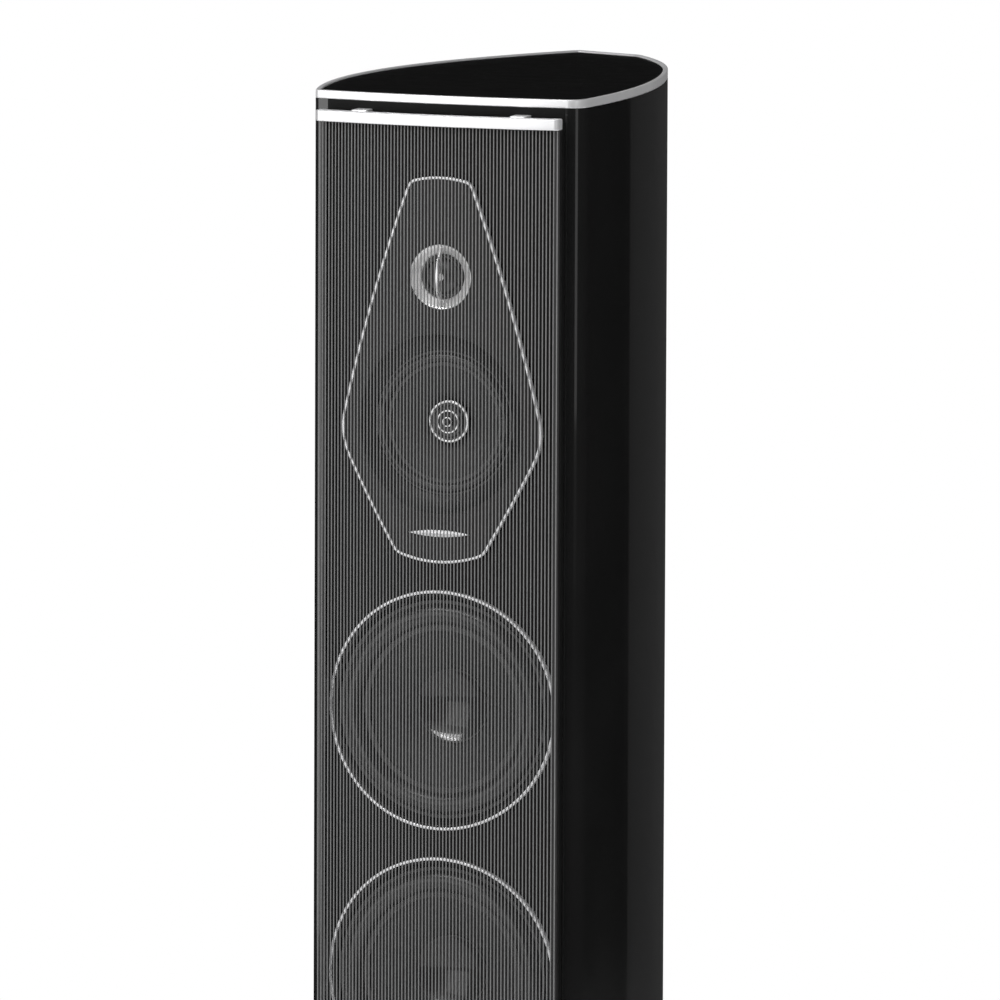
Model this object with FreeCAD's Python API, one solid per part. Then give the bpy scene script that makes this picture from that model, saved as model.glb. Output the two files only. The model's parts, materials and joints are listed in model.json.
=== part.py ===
"""Floorstanding three-way speaker with a lute-shaped cabinet, a string grille and four screw feet.

Millimetres, +Z up. The front faces -Y and the row stands on Z = 0. The origin is on the floor, at the
middle of the footprint of the four spike shoes. Every node is one STEP in parts/.
"""

import FreeCAD
import Part

import math
import os

V = FreeCAD.Vector

# ---------------------------------------------------------------- overall size
HEIGHT = 1103.0
FOOTPRINT_W = 370.0
FOOTPRINT_D = 454.0
FRONT_Y = -200.0  # middle of the baffle's front face
FRONT_R = 700.0  # the front bulges to this radius about a vertical axis

# ---------------------------------------------------------------- cabinet
CABINET_BASE = 50.0  # underside of the cabinet above the floor
RIM_H = 7.0
RIM_W = 4.0
PANEL_SUNK = 1.5  # the end panels lie this far inside the rims
PLUG_H = 16.0
WALL = 20.0
FIT = 0.2  # glue gap between wooden pieces
FRONT_X_L, FRONT_X_R = -116.0, 118.0  # the front corners
BAFFLE_HALF = 104.0
BAFFLE_T = 25.0
POCKET_Y = -189.5  # flat floor of the driver pockets

# outline of the cabinet seen from above: the rear face runs from REAR_L to REAR_R
LEFT_BULGE, LEFT_HIP = (-136.8, -50.0, 0), (-110.0, 85.0, 0)
RIGHT_BULGE, RIGHT_HIP = (120.5, -45.0, 0), (88.0, 96.0, 0)
REAR_L, REAR_R = (-38.0, 220.0, 0), (25.0, 200.0, 0)
CORNER_FL, CORNER_FR, CORNER_RL, CORNER_RR = 5.0, 16.0, 5.0, 14.0

# ---------------------------------------------------------------- drivers
TWEETER_Z = 954.0
MID_Z = 832.4
WOOFER_Z = {"upper": 594.6, "lower": 372.3}
TRIM_R = 99.8  # outside of a woofer's trim ring
TRIM_W = 2.6
PLATE_PROUD = 2.0
ARRAY_FORWARD = 3.0  # the plate with its two drivers stands this much further forward than drawn
TRIM_PROUD = 4.0

# ---------------------------------------------------------------- grille
BAR_HALF = 106.8
BAR_H = 9.0
BAR_D = 10.0
BAR_GAP = 13.0  # air between the baffle and a bar
BAR_TOP = 1088.8
BOTTOM_BAR_Z = 62.0
STRING_PITCH = 2.92
STRINGS = 71
STRING_R = 0.55
LUG_X = 69.6
LUG_HALF = 6.8
PIN_R = 3.0
PIN_Z_INSET = BAR_H / 2

# ---------------------------------------------------------------- rear face
SLOT_W = 16.0
VENT_Z = (330.0, 1060.0)
SPINE_HALF = 24.0
TERMINAL_Z = 190.0
TERMINAL_RECESS = 14.0  # the terminal plate lies this deep in the rear face
POST_GAP = 19.0  # 3/4 inch between the two posts
POST_STUD_R = 3.0
POST_END = 22.5  # end of a post above the bay's floor
PLATE_HALF, PLATE_TALL = 20.0, 42.0
THREAD_GAP = 0.06  # running clearance of a thread, which is left plain
SOCKET_R = 2.0  # 4 mm plug
SOCKET_L = 20.0

# ---------------------------------------------------------------- feet
SHOE_R = 18.0
SHOE_H = 6.0
ARM_H = 14.0
ARM_Z = CABINET_BASE - ARM_H
SPIKE_R = 4.0
KNOB_R = 11.0
REAR_FOOT_X = 105.0

PARTS = "parts"
os.makedirs(PARTS, exist_ok=True)


# ================================================================ helpers
def export_array(name, *shapes):
    """Writes a node of the tweeter and midrange plate."""
    export(name, *[forward(shape) for shape in shapes])


def export(name, *shapes):
    """Writes one node. Each argument is a separate solid or a compound of them."""
    solids = [s for shape in shapes for s in shape.Solids]
    whole = solids[0] if len(solids) == 1 else Part.makeCompound(solids)
    whole.exportStep(f"{PARTS}/{name}.step")
    bad = [s for s in solids if not s.isValid() or s.Volume <= 0]
    print(f"{name}: {len(solids)} solid(s), {sum(s.Volume for s in solids) / 1000:.1f} cm3"
          + (f", {len(bad)} BAD" if bad else ""))


def forward(shape):
    """Moves a piece of the tweeter and midrange plate from where it is drawn to where it stands."""
    moved = shape.copy()
    moved.translate(V(0, -ARRAY_FORWARD, 0))
    return moved


def box(x0, x1, y0, y1, z0, z1):
    return Part.makeBox(x1 - x0, y1 - y0, z1 - z0, V(x0, y0, z0))


def cyl_z(r, z0, z1, x=0.0, y=0.0):
    return Part.makeCylinder(r, z1 - z0, V(x, y, z0))


def cyl_y(r, y0, y1, x=0.0, z=0.0):
    return Part.makeCylinder(r, y1 - y0, V(x, y0, z), V(0, 1, 0))


def hexagon(radius, x, y, z, normal):
    """A hexagonal face about (x, y, z), square to Y or Z."""
    spokes = [(radius * math.cos(i * math.pi / 3), radius * math.sin(i * math.pi / 3)) for i in range(7)]
    if normal == "y":
        return Part.Face(Part.makePolygon([V(x + a, y, z + b) for a, b in spokes]))
    return Part.Face(Part.makePolygon([V(x + a, y + b, z) for a, b in spokes]))


def front_y(x, proud=0.0):
    """Y of the curved front at x, moved out by proud."""
    return FRONT_Y + FRONT_R - math.sqrt((FRONT_R + proud) ** 2 - x * x)


def front_drum(proud, z0=0.0, z1=HEIGHT):
    """Everything behind the curved front moved out by proud."""
    return Part.makeCylinder(FRONT_R + proud, z1 - z0, V(0, FRONT_Y + FRONT_R, z0))


def curved_band(outer, inner, half, z0, z1):
    """A bent bar that follows the front, between two distances in front of the baffle."""
    shell = front_drum(outer, z0, z1).cut(front_drum(inner, z0, z1))
    return shell.common(box(-half, half, FRONT_Y - 60, FRONT_Y + 60, z0, z1))


def path_edges(points):
    """Edges through the points. A point given as (middle, end) is reached by an arc through middle."""
    edges, here = [], V(*points[0])
    for step in points[1:]:
        if isinstance(step[0], tuple):
            middle, end = V(*step[0]), V(*step[1])
            edges.append(Part.Arc(here, middle, end).toShape())
        else:
            end = V(*step)
            edges.append(Part.LineSegment(here, end).toShape())
        here = end
    return edges


def turned(points, z):
    """A closed profile of (radius, y) points turned about the driver axis at height z."""
    flat = [((p[0][0], p[0][1], 0), (p[1][0], p[1][1], 0)) if isinstance(p[0], tuple) else (p[0], p[1], 0)
            for p in points]
    last = flat[-1][1] if isinstance(flat[-1][0], tuple) else flat[-1]
    if last != flat[0]:
        flat.append(flat[0])
    face = Part.Face(Part.Wire(path_edges(flat)))
    solid = face.revolve(V(0, 0, 0), V(0, 1, 0), 360).Solids[0]
    solid.translate(V(0, 0, z))
    return solid


def bulged(start, end, sagitta):
    """The middle of an arc from start to end that bulges to the left of the way by sagitta."""
    dx, dy = end[0] - start[0], end[1] - start[1]
    length = math.hypot(dx, dy)
    return ((start[0] + end[0]) / 2 - dy / length * sagitta, (start[1] + end[1]) / 2 + dx / length * sagitta, 0)


def dome_middle(edge, top):
    """The middle of the arc from (radius, y) at a dome's edge to its top on the axis at y = top."""
    rise = edge[1] - top
    radius = (edge[0] ** 2 + rise ** 2) / (2 * rise)
    half = math.asin(edge[0] / radius) / 2
    return (radius * math.sin(half), top + radius * (1 - math.cos(half)))


def bowl_middle(edge, bottom):
    """The middle of the arc from (radius, y) at a bowl's edge to its bottom on the axis at y = bottom."""
    radius, y = dome_middle((edge[0], -edge[1]), -bottom)
    return (radius, -y)


def tangent_middle(start, heading, end):
    """The middle of the arc that leaves start along heading and reaches end."""
    dx, dy = end[0] - start[0], end[1] - start[1]
    turn = math.atan2(heading.x * dy - heading.y * dx, heading.x * dx + heading.y * dy)
    return bulged(start, end, -math.hypot(dx, dy) / 2 * math.tan(turn / 2))


def rounded_prism(outline, corners, inset, depth):
    """Extrudes a planar face moved in by inset. Each (corner, radius) is rounded, less the inset."""
    sharp, round_join = 2, 0
    face = outline.makeOffset2D(-inset, sharp if inset < 0 else round_join) if inset else outline
    prism = face.extrude(depth).Solids[0]
    for corner, radius in corners:
        upright = [e for e in prism.Edges if e.Length > 0.9 * depth.Length
                   and e.tangentAt(e.FirstParameter).cross(depth).Length < 1e-6 * depth.Length]
        nearest = min(upright, key=lambda e: (e.Vertexes[0].Point - corner).cross(depth).Length)
        if radius - inset > 0.5:
            prism = prism.makeFillet(radius - inset, [nearest])
    return prism


# ================================================================ cabinet outline
def cabinet_outline():
    """The lute-shaped outline at Z = 0: bowed front, two unlike sides, and a slanted rear face."""
    right_heading = Part.Arc(V(*FRONT_CORNER_R), V(*RIGHT_BULGE), V(*RIGHT_HIP)).toShape()
    left_heading = Part.Arc(V(*FRONT_CORNER_L), V(*LEFT_BULGE), V(*LEFT_HIP)).toShape()
    right_tail = tangent_middle(RIGHT_HIP, right_heading.tangentAt(right_heading.LastParameter), REAR_R)
    left_tail = tangent_middle(LEFT_HIP, left_heading.tangentAt(left_heading.LastParameter), REAR_L)
    edges = path_edges([
        FRONT_CORNER_L, ((0, FRONT_Y, 0), FRONT_CORNER_R), (RIGHT_BULGE, RIGHT_HIP), (right_tail, REAR_R),
        REAR_L])
    edges += path_edges([FRONT_CORNER_L, (LEFT_BULGE, LEFT_HIP), (left_tail, REAR_L)])
    return Part.Face(Part.Wire(Part.__sortEdges__(edges)))


FRONT_CORNER_L = (FRONT_X_L, front_y(FRONT_X_L), 0)
FRONT_CORNER_R = (FRONT_X_R, front_y(FRONT_X_R), 0)
CORNERS = [(V(*FRONT_CORNER_L), CORNER_FL), (V(*FRONT_CORNER_R), CORNER_FR),
           (V(*REAR_L), CORNER_RL), (V(*REAR_R), CORNER_RR)]
OUTLINE = cabinet_outline()


def slab(inset, z0, z1):
    """The cabinet's plan shape, moved in by inset, from z0 to z1."""
    solid = rounded_prism(OUTLINE, CORNERS, inset, V(0, 0, z1 - z0))
    solid.translate(V(0, 0, z0))
    return solid


# ================================================================ rear face placement
REAR_MIDDLE = V((REAR_L[0] + REAR_R[0]) / 2, (REAR_L[1] + REAR_R[1]) / 2, 0)
REAR_ANGLE = math.degrees(math.atan2(REAR_R[1] - REAR_L[1], REAR_R[0] - REAR_L[0]))


def on_rear(shape):
    """Moves a shape drawn with the rear face as Y = 0, outward as +Y, onto the rear face."""
    placed = shape.copy()
    placed.rotate(V(0, 0, 0), V(0, 0, 1), REAR_ANGLE)
    placed.translate(REAR_MIDDLE)
    return placed


# ================================================================ cabinet
WALL_Z0 = CABINET_BASE + RIM_H
WALL_Z1 = HEIGHT - RIM_H


def build_cabinet():
    ring = slab(0, WALL_Z0, WALL_Z1).cut(slab(WALL, WALL_Z0, WALL_Z1))
    baffle_space = box(-BAFFLE_HALF - FIT, BAFFLE_HALF + FIT, FRONT_Y - 5, FRONT_Y + 60, WALL_Z0, WALL_Z1)
    spine_space = on_rear(box(-SPINE_HALF, SPINE_HALF, -60, 5, WALL_Z0, WALL_Z1))
    spine_gap = on_rear(box(-SPINE_HALF - FIT, SPINE_HALF + FIT, -60, 5, WALL_Z0, WALL_Z1))
    walls = ring.cut(baffle_space).cut(spine_gap)
    left = min(walls.Solids, key=lambda s: s.CenterOfMass.x)
    right = max(walls.Solids, key=lambda s: s.CenterOfMass.x)
    export("side_wall_left", left)
    export("side_wall_right", right)

    spine = ring.common(spine_space)
    duct = on_rear(box(-SLOT_W / 2, SLOT_W / 2, -60, 5, *VENT_Z))
    bay = on_rear(box(-PLATE_HALF - 1.5, PLATE_HALF + 1.5, -TERMINAL_RECESS, 5,
                      TERMINAL_Z - PLATE_TALL - 1.5, TERMINAL_Z + PLATE_TALL + 1.5))
    wiring_hole = on_rear(box(-12, 12, -60, 5, TERMINAL_Z - 26, TERMINAL_Z + 26))
    screw_holes = [on_rear(cyl_y(1.2, -WALL - 1, 0, x, z)) for x, z in terminal_screw_places()]
    export("rear_spine", spine.cut(duct).cut(bay).cut(wiring_hole).cut(Part.makeCompound(screw_holes)))
    build_baffle()
    build_end_panels()


def build_baffle():
    baffle = curved_band(0, -BAFFLE_T, BAFFLE_HALF, WALL_Z0, WALL_Z1)
    for z in WOOFER_Z.values():
        baffle = baffle.cut(cyl_y(TRIM_R + 0.3, FRONT_Y - 5, POCKET_Y, 0, z))
        baffle = baffle.cut(cyl_y(85.0, POCKET_Y - 1, FRONT_Y + 60, 0, z))
        for x, dz in screw_ring(SCREW_R_WOOFER, WOOFER_SCREWS):
            baffle = baffle.cut(cyl_y(SCREW_CORE_R, POCKET_Y - 1, SCREW_END, x, z + dz))
    pockets = [array_prism(1.5, FRONT_Y - 5, ARRAY_BACK),
               cyl_y(77.0, ARRAY_BACK - 1, MID_FLANGE_BACK, 0, MID_Z),
               cyl_y(62.0, ARRAY_BACK - 1, FRONT_Y + 60, 0, MID_Z),
               cyl_y(42.0, ARRAY_BACK - 1, TWEETER_FLANGE_BACK, 0, TWEETER_Z),
               cyl_y(33.0, ARRAY_BACK - 1, FRONT_Y + 60, 0, TWEETER_Z)]
    pockets += [cyl_y(SCREW_CORE_R, MID_FLANGE_BACK - 1, SCREW_END, x, MID_Z + dz)
                for x, dz in screw_ring(SCREW_R_MID, MID_SCREWS)]
    pockets += [cyl_y(SCREW_CORE_R, TWEETER_FLANGE_BACK - 1, SCREW_END, x, TWEETER_Z + dz)
                for x, dz in screw_ring(SCREW_R_TWEETER, TWEETER_SCREWS)]
    for pocket in pockets:
        baffle = baffle.cut(forward(pocket))
    for x, z in pin_places():
        baffle = baffle.cut(cyl_y(PIN_R + 0.3, FRONT_Y - 5, FRONT_Y + 14, x, z))
    export("front_baffle", baffle)


def build_end_panels():
    """Top and bottom: a metal rim round the edge, and a stepped panel that plugs the cabinet."""
    rims = []
    for name, outer, inner, plug in (
            ("top", HEIGHT, WALL_Z1, WALL_Z1 - PLUG_H), ("bottom", CABINET_BASE, WALL_Z0, WALL_Z0 + PLUG_H)):
        sunk = outer - PANEL_SUNK if name == "top" else outer + PANEL_SUNK
        z0, z1 = sorted((outer, inner))
        rims.append(slab(0, z0, z1).cut(slab(RIM_W, z0, z1)))
        lid = slab(RIM_W + FIT, *sorted((sunk, inner)))
        plug_space = box(-300, 300, FRONT_Y + BAFFLE_T + 10, 300, 0, HEIGHT)
        panel = lid.fuse(slab(WALL + 1.0, *sorted((inner, plug))).common(plug_space)).removeSplitter()
        if name == "bottom":
            for x, y in arm_bolts():
                panel = panel.cut(cyl_z(BOLT_R, CABINET_BASE - 1, CABINET_BASE + BOLT_L, x, y))
        export(f"{name}_panel", panel)
    export("cabinet_rims", *rims)


# ================================================================ inside the cabinet
SHELVES_Z = (704.0, 904.0)  # floor and ceiling of the closed midrange chamber
BRACES_Z = (250.0, 476.0, 1010.0)
BOARD_T = 16.0
FELT_T = 9.0


def inside_board(z):
    board = slab(WALL + 0.6, z, z + BOARD_T)
    return board.common(box(-300, 300, FRONT_Y + BAFFLE_T + 10, 300, z, z + BOARD_T))


def duct_clearance(z0, z1):
    return on_rear(box(-SLOT_W / 2 - 6, SLOT_W / 2 + 6, -90, 5, z0, z1))


def build_inside():
    tx, ty = WIRE_TRUNK
    boards = []
    for z in BRACES_Z + SHELVES_Z:
        board = inside_board(z).cut(duct_clearance(z, z + BOARD_T))
        board = board.cut(box(tx - 12, tx + 12, ty - 5, ty + 5, z, z + BOARD_T))
        if z in BRACES_Z:
            board = board.cut(slab(WALL + 42, z, z + BOARD_T))
        boards.append(board.Solids[0])
    export("internal_braces", *boards)

    felts = []
    for z0, z1 in ((86, 246), (270, 472), (496, 700), (724, 900), (924, 1006)):
        sheet = slab(WALL + 0.5, z0, z1).cut(slab(WALL + 0.5 + FELT_T, z0, z1))
        sheet = sheet.cut(box(-300, 300, -300, FRONT_Y + BAFFLE_T + 12, z0, z1))
        sheet = sheet.cut(on_rear(box(-SPINE_HALF - 4, SPINE_HALF + 4, -80, 5, z0, z1)))
        felts += sheet.Solids
    export("damping_felt", *felts)


BOARD_Z = 84.0
BOARD_CENTRE = (-8.0, 10.0)
WIRE_TRUNK = (-60.0, 90.0)  # the loom climbs the cabinet here
WIRE_R = 2.2


def rounded_tube(points, radius, bend):
    """A tube along straight runs joined by tangent arcs of radius bend."""
    pts = [V(*p) for p in points]
    edges, here = [], pts[0]
    for before, corner, after in zip(pts, pts[1:], pts[2:]):
        a, b = (before - corner).normalize(), (after - corner).normalize()
        half = a.getAngle(b) / 2
        cut = bend / math.tan(half)
        start, end = corner + a * cut, corner + b * cut
        middle = corner + (a + b).normalize() * (bend / math.sin(half) - bend)
        edges += [Part.LineSegment(here, start).toShape(), Part.Arc(start, middle, end).toShape()]
        here = end
    edges.append(Part.LineSegment(here, pts[-1]).toShape())
    ring = Part.Wire(Part.Circle(pts[0], pts[1] - pts[0], radius).toShape())
    return Part.Wire(edges).makePipeShell([ring], True, False)


def build_crossover():
    cx, cy = BOARD_CENTRE
    board = box(cx - 70, cx + 70, cy - 60, cy + 60, BOARD_Z, BOARD_Z + 2)
    posts = [cyl_z(4, WALL_Z0 + PLUG_H, BOARD_Z, cx + dx, cy + dy) for dx in (-62, 62) for dy in (-52, 52)]
    top = BOARD_Z + 2
    coils = [cyl_z(r, top, top + h, cx + x, cy + y).cut(cyl_z(r * 0.45, top, top + h, cx + x, cy + y))
             for r, h, x, y in ((26, 22, -40, -30), (22, 20, 38, 34), (16, 14, -48, 38))]
    caps = [Part.makeCylinder(r, length, V(cx + x, cy + y, top + r), V(1, 0, 0))
            for r, length, x, y in ((10, 34, 0, -44), (10, 34, 0, -20), (7, 28, -22, 4), (7, 28, -22, 22))]
    resistors = [box(cx + x, cx + x + 38, cy + y, cy + y + 9, top, top + 9)
                 for x, y in ((24, -9), (24, 1.5))]
    export("crossover", board, *posts, *coils, *caps, *resistors)


def build_wiring():
    """Twin leads from the terminals to the board, and from the board up the loom to each driver."""
    tx, ty = WIRE_TRUNK
    inside = on_rear(Part.Vertex(0, -38, 0)).Point
    wires = [rounded_tube([
        (inside.x, inside.y, TERMINAL_Z), (inside.x - 6, inside.y - 60, TERMINAL_Z),
        (10, 66, 130), (10, 60, 116), (10, 60, BOARD_Z + 2)], WIRE_R, 8)]
    for number, (radius, z) in enumerate(((58, WOOFER_Z["lower"]), (58, WOOFER_Z["upper"]),
                                          (46, MID_Z), (30, TWEETER_Z))):
        x = tx + (number - 1.5) * 5.2
        y_end = -105.0 if number < 2 else -118.0 if number == 2 else -150.0
        wires.append(rounded_tube([
            (x, 68, BOARD_Z + 2), (x, 68, 110), (x, ty, 140), (x, ty, z - 20), (x + 4, ty - 60, z),
            (-radius - 6, y_end + 20, z), (-radius - 6, y_end, z)], WIRE_R, 8))
    export("internal_wiring", *[w.Solids[0] for w in wires])


# ================================================================ driver fasteners
SCREW_R_WOOFER = 93.6
WOOFER_SCREWS = 8
SCREW_R_MID = 70.0
MID_SCREWS = 6
SCREW_R_TWEETER = 36.0
TWEETER_SCREWS = 4
SCREW_CORE_R = 1.6
SCREW_END = -178.0  # the screws' tips inside the baffle
SCREW_HEAD_R = 2.4
SCREW_HEAD_H = 1.6


def screw_ring(radius, count):
    start = math.pi / count
    return [(radius * math.cos(start + 2 * math.pi * i / count), radius * math.sin(start + 2 * math.pi * i / count))
            for i in range(count)]


def screw(seat, x, z):
    """A hex-socket screw along +Y whose head rests at Y = seat."""
    head = cyl_y(SCREW_HEAD_R, seat - SCREW_HEAD_H, seat, x, z)
    socket = hexagon(1.2, x, seat - SCREW_HEAD_H, z, "y").extrude(V(0, 1.0, 0))
    return head.fuse(cyl_y(SCREW_CORE_R, seat, SCREW_END, x, z)).cut(socket)


# ================================================================ tweeter and midrange plate
ARRAY_BACK = -190.0
MID_FLANGE_BACK = -185.4
TWEETER_FLANGE_BACK = -186.0
MID_SCREW_SEAT = ARRAY_BACK + 2.7
TWEETER_SCREW_SEAT = ARRAY_BACK + 2.0
PLATE_SHOULDER, PLATE_WAIST, PLATE_CHIN = (26.5, 1032.0), (89.8, 820.5), (38.0, 725.5)
PLATE_TOP, PLATE_BOTTOM = 1036.0, 718.3
SHOULDER_R, WAIST_R, CHIN_R = 9.0, 55.0, 12.0
UPPER_BOW, LOWER_BOW = 4.0, 1.3
BEAD = 1.2  # the bright edge reaches this far each side of the outline


def array_outline():
    """The shield-shaped outline of the plate, in the XZ plane at Y = 0."""
    right_upper = bulged(PLATE_SHOULDER, PLATE_WAIST, UPPER_BOW)
    right_lower = bulged(PLATE_WAIST, PLATE_CHIN, LOWER_BOW)
    upright = lambda p, side=1: (side * p[0], 0, p[1])
    edges = path_edges([
        upright(PLATE_SHOULDER, -1), ((0, 0, PLATE_TOP), upright(PLATE_SHOULDER)),
        (upright(right_upper), upright(PLATE_WAIST)), (upright(right_lower), upright(PLATE_CHIN)),
        ((0, 0, PLATE_BOTTOM), upright(PLATE_CHIN, -1)), (upright(right_lower, -1), upright(PLATE_WAIST, -1)),
        (upright(right_upper, -1), upright(PLATE_SHOULDER, -1))])
    return Part.Face(Part.Wire(edges))


ARRAY = array_outline()
ARRAY_CORNERS = [(V(side * x, 0, z), r) for side in (-1, 1) for (x, z), r in
                 ((PLATE_SHOULDER, SHOULDER_R), (PLATE_WAIST, WAIST_R), (PLATE_CHIN, CHIN_R))]


def array_prism(grow, y0, y1):
    solid = rounded_prism(ARRAY, ARRAY_CORNERS, -grow, V(0, y1 - y0, 0))
    solid.translate(V(0, y0, 0))
    return solid


def build_array():
    front = FRONT_Y - 8
    plate = array_prism(-BEAD - 0.1, front, ARRAY_BACK).common(front_drum(PLATE_PROUD))
    plate = plate.cut(cyl_y(27.2, front, ARRAY_BACK + 1, 0, TWEETER_Z))
    dish = turned([(0, front), (75.5, front), (74.0, -201.0), ((65.0, -193.5), (60.2, -191.0)),
                   (60.2, ARRAY_BACK + 1), (0, ARRAY_BACK + 1)], MID_Z)
    export_array("array_plate", plate.cut(dish))
    bead = array_prism(BEAD, front, ARRAY_BACK).cut(array_prism(-BEAD, front, ARRAY_BACK))
    export_array("array_trim", bead.common(front_drum(PLATE_PROUD + 0.9)))

    half, r, z = 27.0, 2.9, 742.0
    outline = box(-half + r, half - r, -230, -150, z - r, z + r)
    for side in (-1, 1):
        outline = outline.fuse(cyl_y(r, -230, -150, side * (half - r), z))
    badge = outline.common(front_drum(PLATE_PROUD + 1.3)).cut(front_drum(PLATE_PROUD + 0.02))
    export_array("badge_plate", badge.common(box(-60, 60, -230, -150, z - 10, z + 10)).removeSplitter())


def build_tweeter():
    z = TWEETER_Z
    face = turned([(18.4, -194.0), (18.4, -190.0), (18.4, TWEETER_FLANGE_BACK), (41.5, TWEETER_FLANGE_BACK),
                   (41.5, ARRAY_BACK + 0.15), (27.0, ARRAY_BACK + 0.15), (27.0, -200.6), (26.2, -200.9),
                   ((22.0, -197.4), (18.9, -195.0))], z)
    for x, dz in screw_ring(SCREW_R_TWEETER, TWEETER_SCREWS):
        face = face.cut(cyl_y(SCREW_CORE_R + 0.1, -200, -180, x, z + dz))
        face = face.cut(cyl_y(SCREW_HEAD_R + 0.2, -200, TWEETER_SCREW_SEAT, x, z + dz))
    export_array("tweeter_faceplate", face)
    outer, inner = (14.0, -195.6), (13.6, -195.4)
    top, under = -201.0, -200.6
    dome = turned([outer, (dome_middle(outer, top), (0.0, top)), (0.0, under), (dome_middle(inner, under), inner),
                   (13.6, -186.6), (14.0, -186.6)], z)
    export_array("tweeter_dome", dome)
    surround = turned([(14.1, -195.5), ((16.0, -197.3), (18.0, -195.5)), (18.3, -195.5), (18.3, -195.1),
                       (17.7, -195.1), ((16.0, -196.8), (14.5, -195.1)), (14.1, -195.1)], z)
    export_array("tweeter_surround", surround)

    # a thin upright fin arches over the dome and carries a small damper in front of its top
    arc = lambda y_mid, y_end, h: Part.Arc(V(0, y_end, z - h), V(0, y_mid, z), V(0, y_end, z + h)).toShape()
    outer, inner, h_out, h_in = arc(-210.4, -199.6, 25.6), arc(-205.4, -198.2, 20.2), 25.6, 20.2
    low = Part.LineSegment(V(0, -198.2, z - h_in), V(0, -199.6, z - h_out)).toShape()
    high = Part.LineSegment(V(0, -198.2, z + h_in), V(0, -199.6, z + h_out)).toShape()
    fin = Part.Face(Part.Wire(Part.__sortEdges__([outer, low, inner, high]))).extrude(V(1.6, 0, 0)).Solids[0]
    fin.translate(V(-0.8, 0, 0))
    feet = turned([(0, -230), (60, -230), (60, -180), (27.0, -180), (27.0, -200.65), (26.2, -200.95),
                   ((22.0, -197.45), (18.8, -195.0)), (0, -195.0)], z)
    damper = turned([(0, -206.4), (2.0, -206.2), (3.4, -203.6), (3.4, -201.9), (0, -201.9)], z)
    export_array("tweeter_bridge", fin.common(feet).fuse(damper).removeSplitter())

    pole = turned([(0, -189), (13.2, -189), (13.2, -168), (24.5, -168), (24.5, -164), (0, -164)], z)
    outer_ring = turned([(15.0, -185.6), (24.5, -185.6), (24.5, -181.5), (15.0, -181.5)], z)
    magnet = turned([(16.5, -181.4), (23.5, -181.4), (23.5, -168.1), (16.5, -168.1)], z)
    can = turned([(0, -163.9), (27, -163.9), (27, -140), ((25.5, -136.5), (22, -135)), (0, -135)], z)
    export_array("tweeter_motor", pole, outer_ring, magnet, can)


# ================================================================ cone drivers
def basket(z, flange, wall, back, windows):
    """A cast frame: flange, a conical wall with open windows, and a back ring."""
    (r0, y0), (r1, y1), t = wall
    cone = turned([(r0 - t, y0), (r0, y0), (r1, y1), (r1 - t, y1)], z)
    rim = turned(flange, z)
    seat = turned(back, z)
    whole = rim.fuse(cone).fuse(seat)
    depth = y1 - y0
    span = 2 * math.pi / windows
    for i in range(windows):
        mid_angle = span * i
        reach = r0 + 6
        a0, a1 = mid_angle - span * 0.34, mid_angle + span * 0.34
        wedge = Part.makePolygon([
            V(0, y0 + depth * 0.18, z), V(reach * math.cos(a0), y0 + depth * 0.18, z + reach * math.sin(a0)),
            V(reach * math.cos(a1), y0 + depth * 0.18, z + reach * math.sin(a1)), V(0, y0 + depth * 0.18, z)])
        whole = whole.cut(Part.Face(wedge).extrude(V(0, depth * 0.62, 0)).cut(
            cyl_y(r1 - t - 2, y0, y1, 0, z)))
    return whole.removeSplitter()


def spider(z, r0, r1, y, waves=5, depth=1.6, t=0.5):
    """A corrugated disc between the coil former and the basket."""
    step = (r1 - r0) / (2 * waves)
    path = lambda off: [(r0 + step * i, y + off + (depth if i % 2 else -depth) * (0 < i < 2 * waves))
                        for i in range(2 * waves + 1)]
    return turned(path(0) + path(t)[::-1], z)


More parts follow.
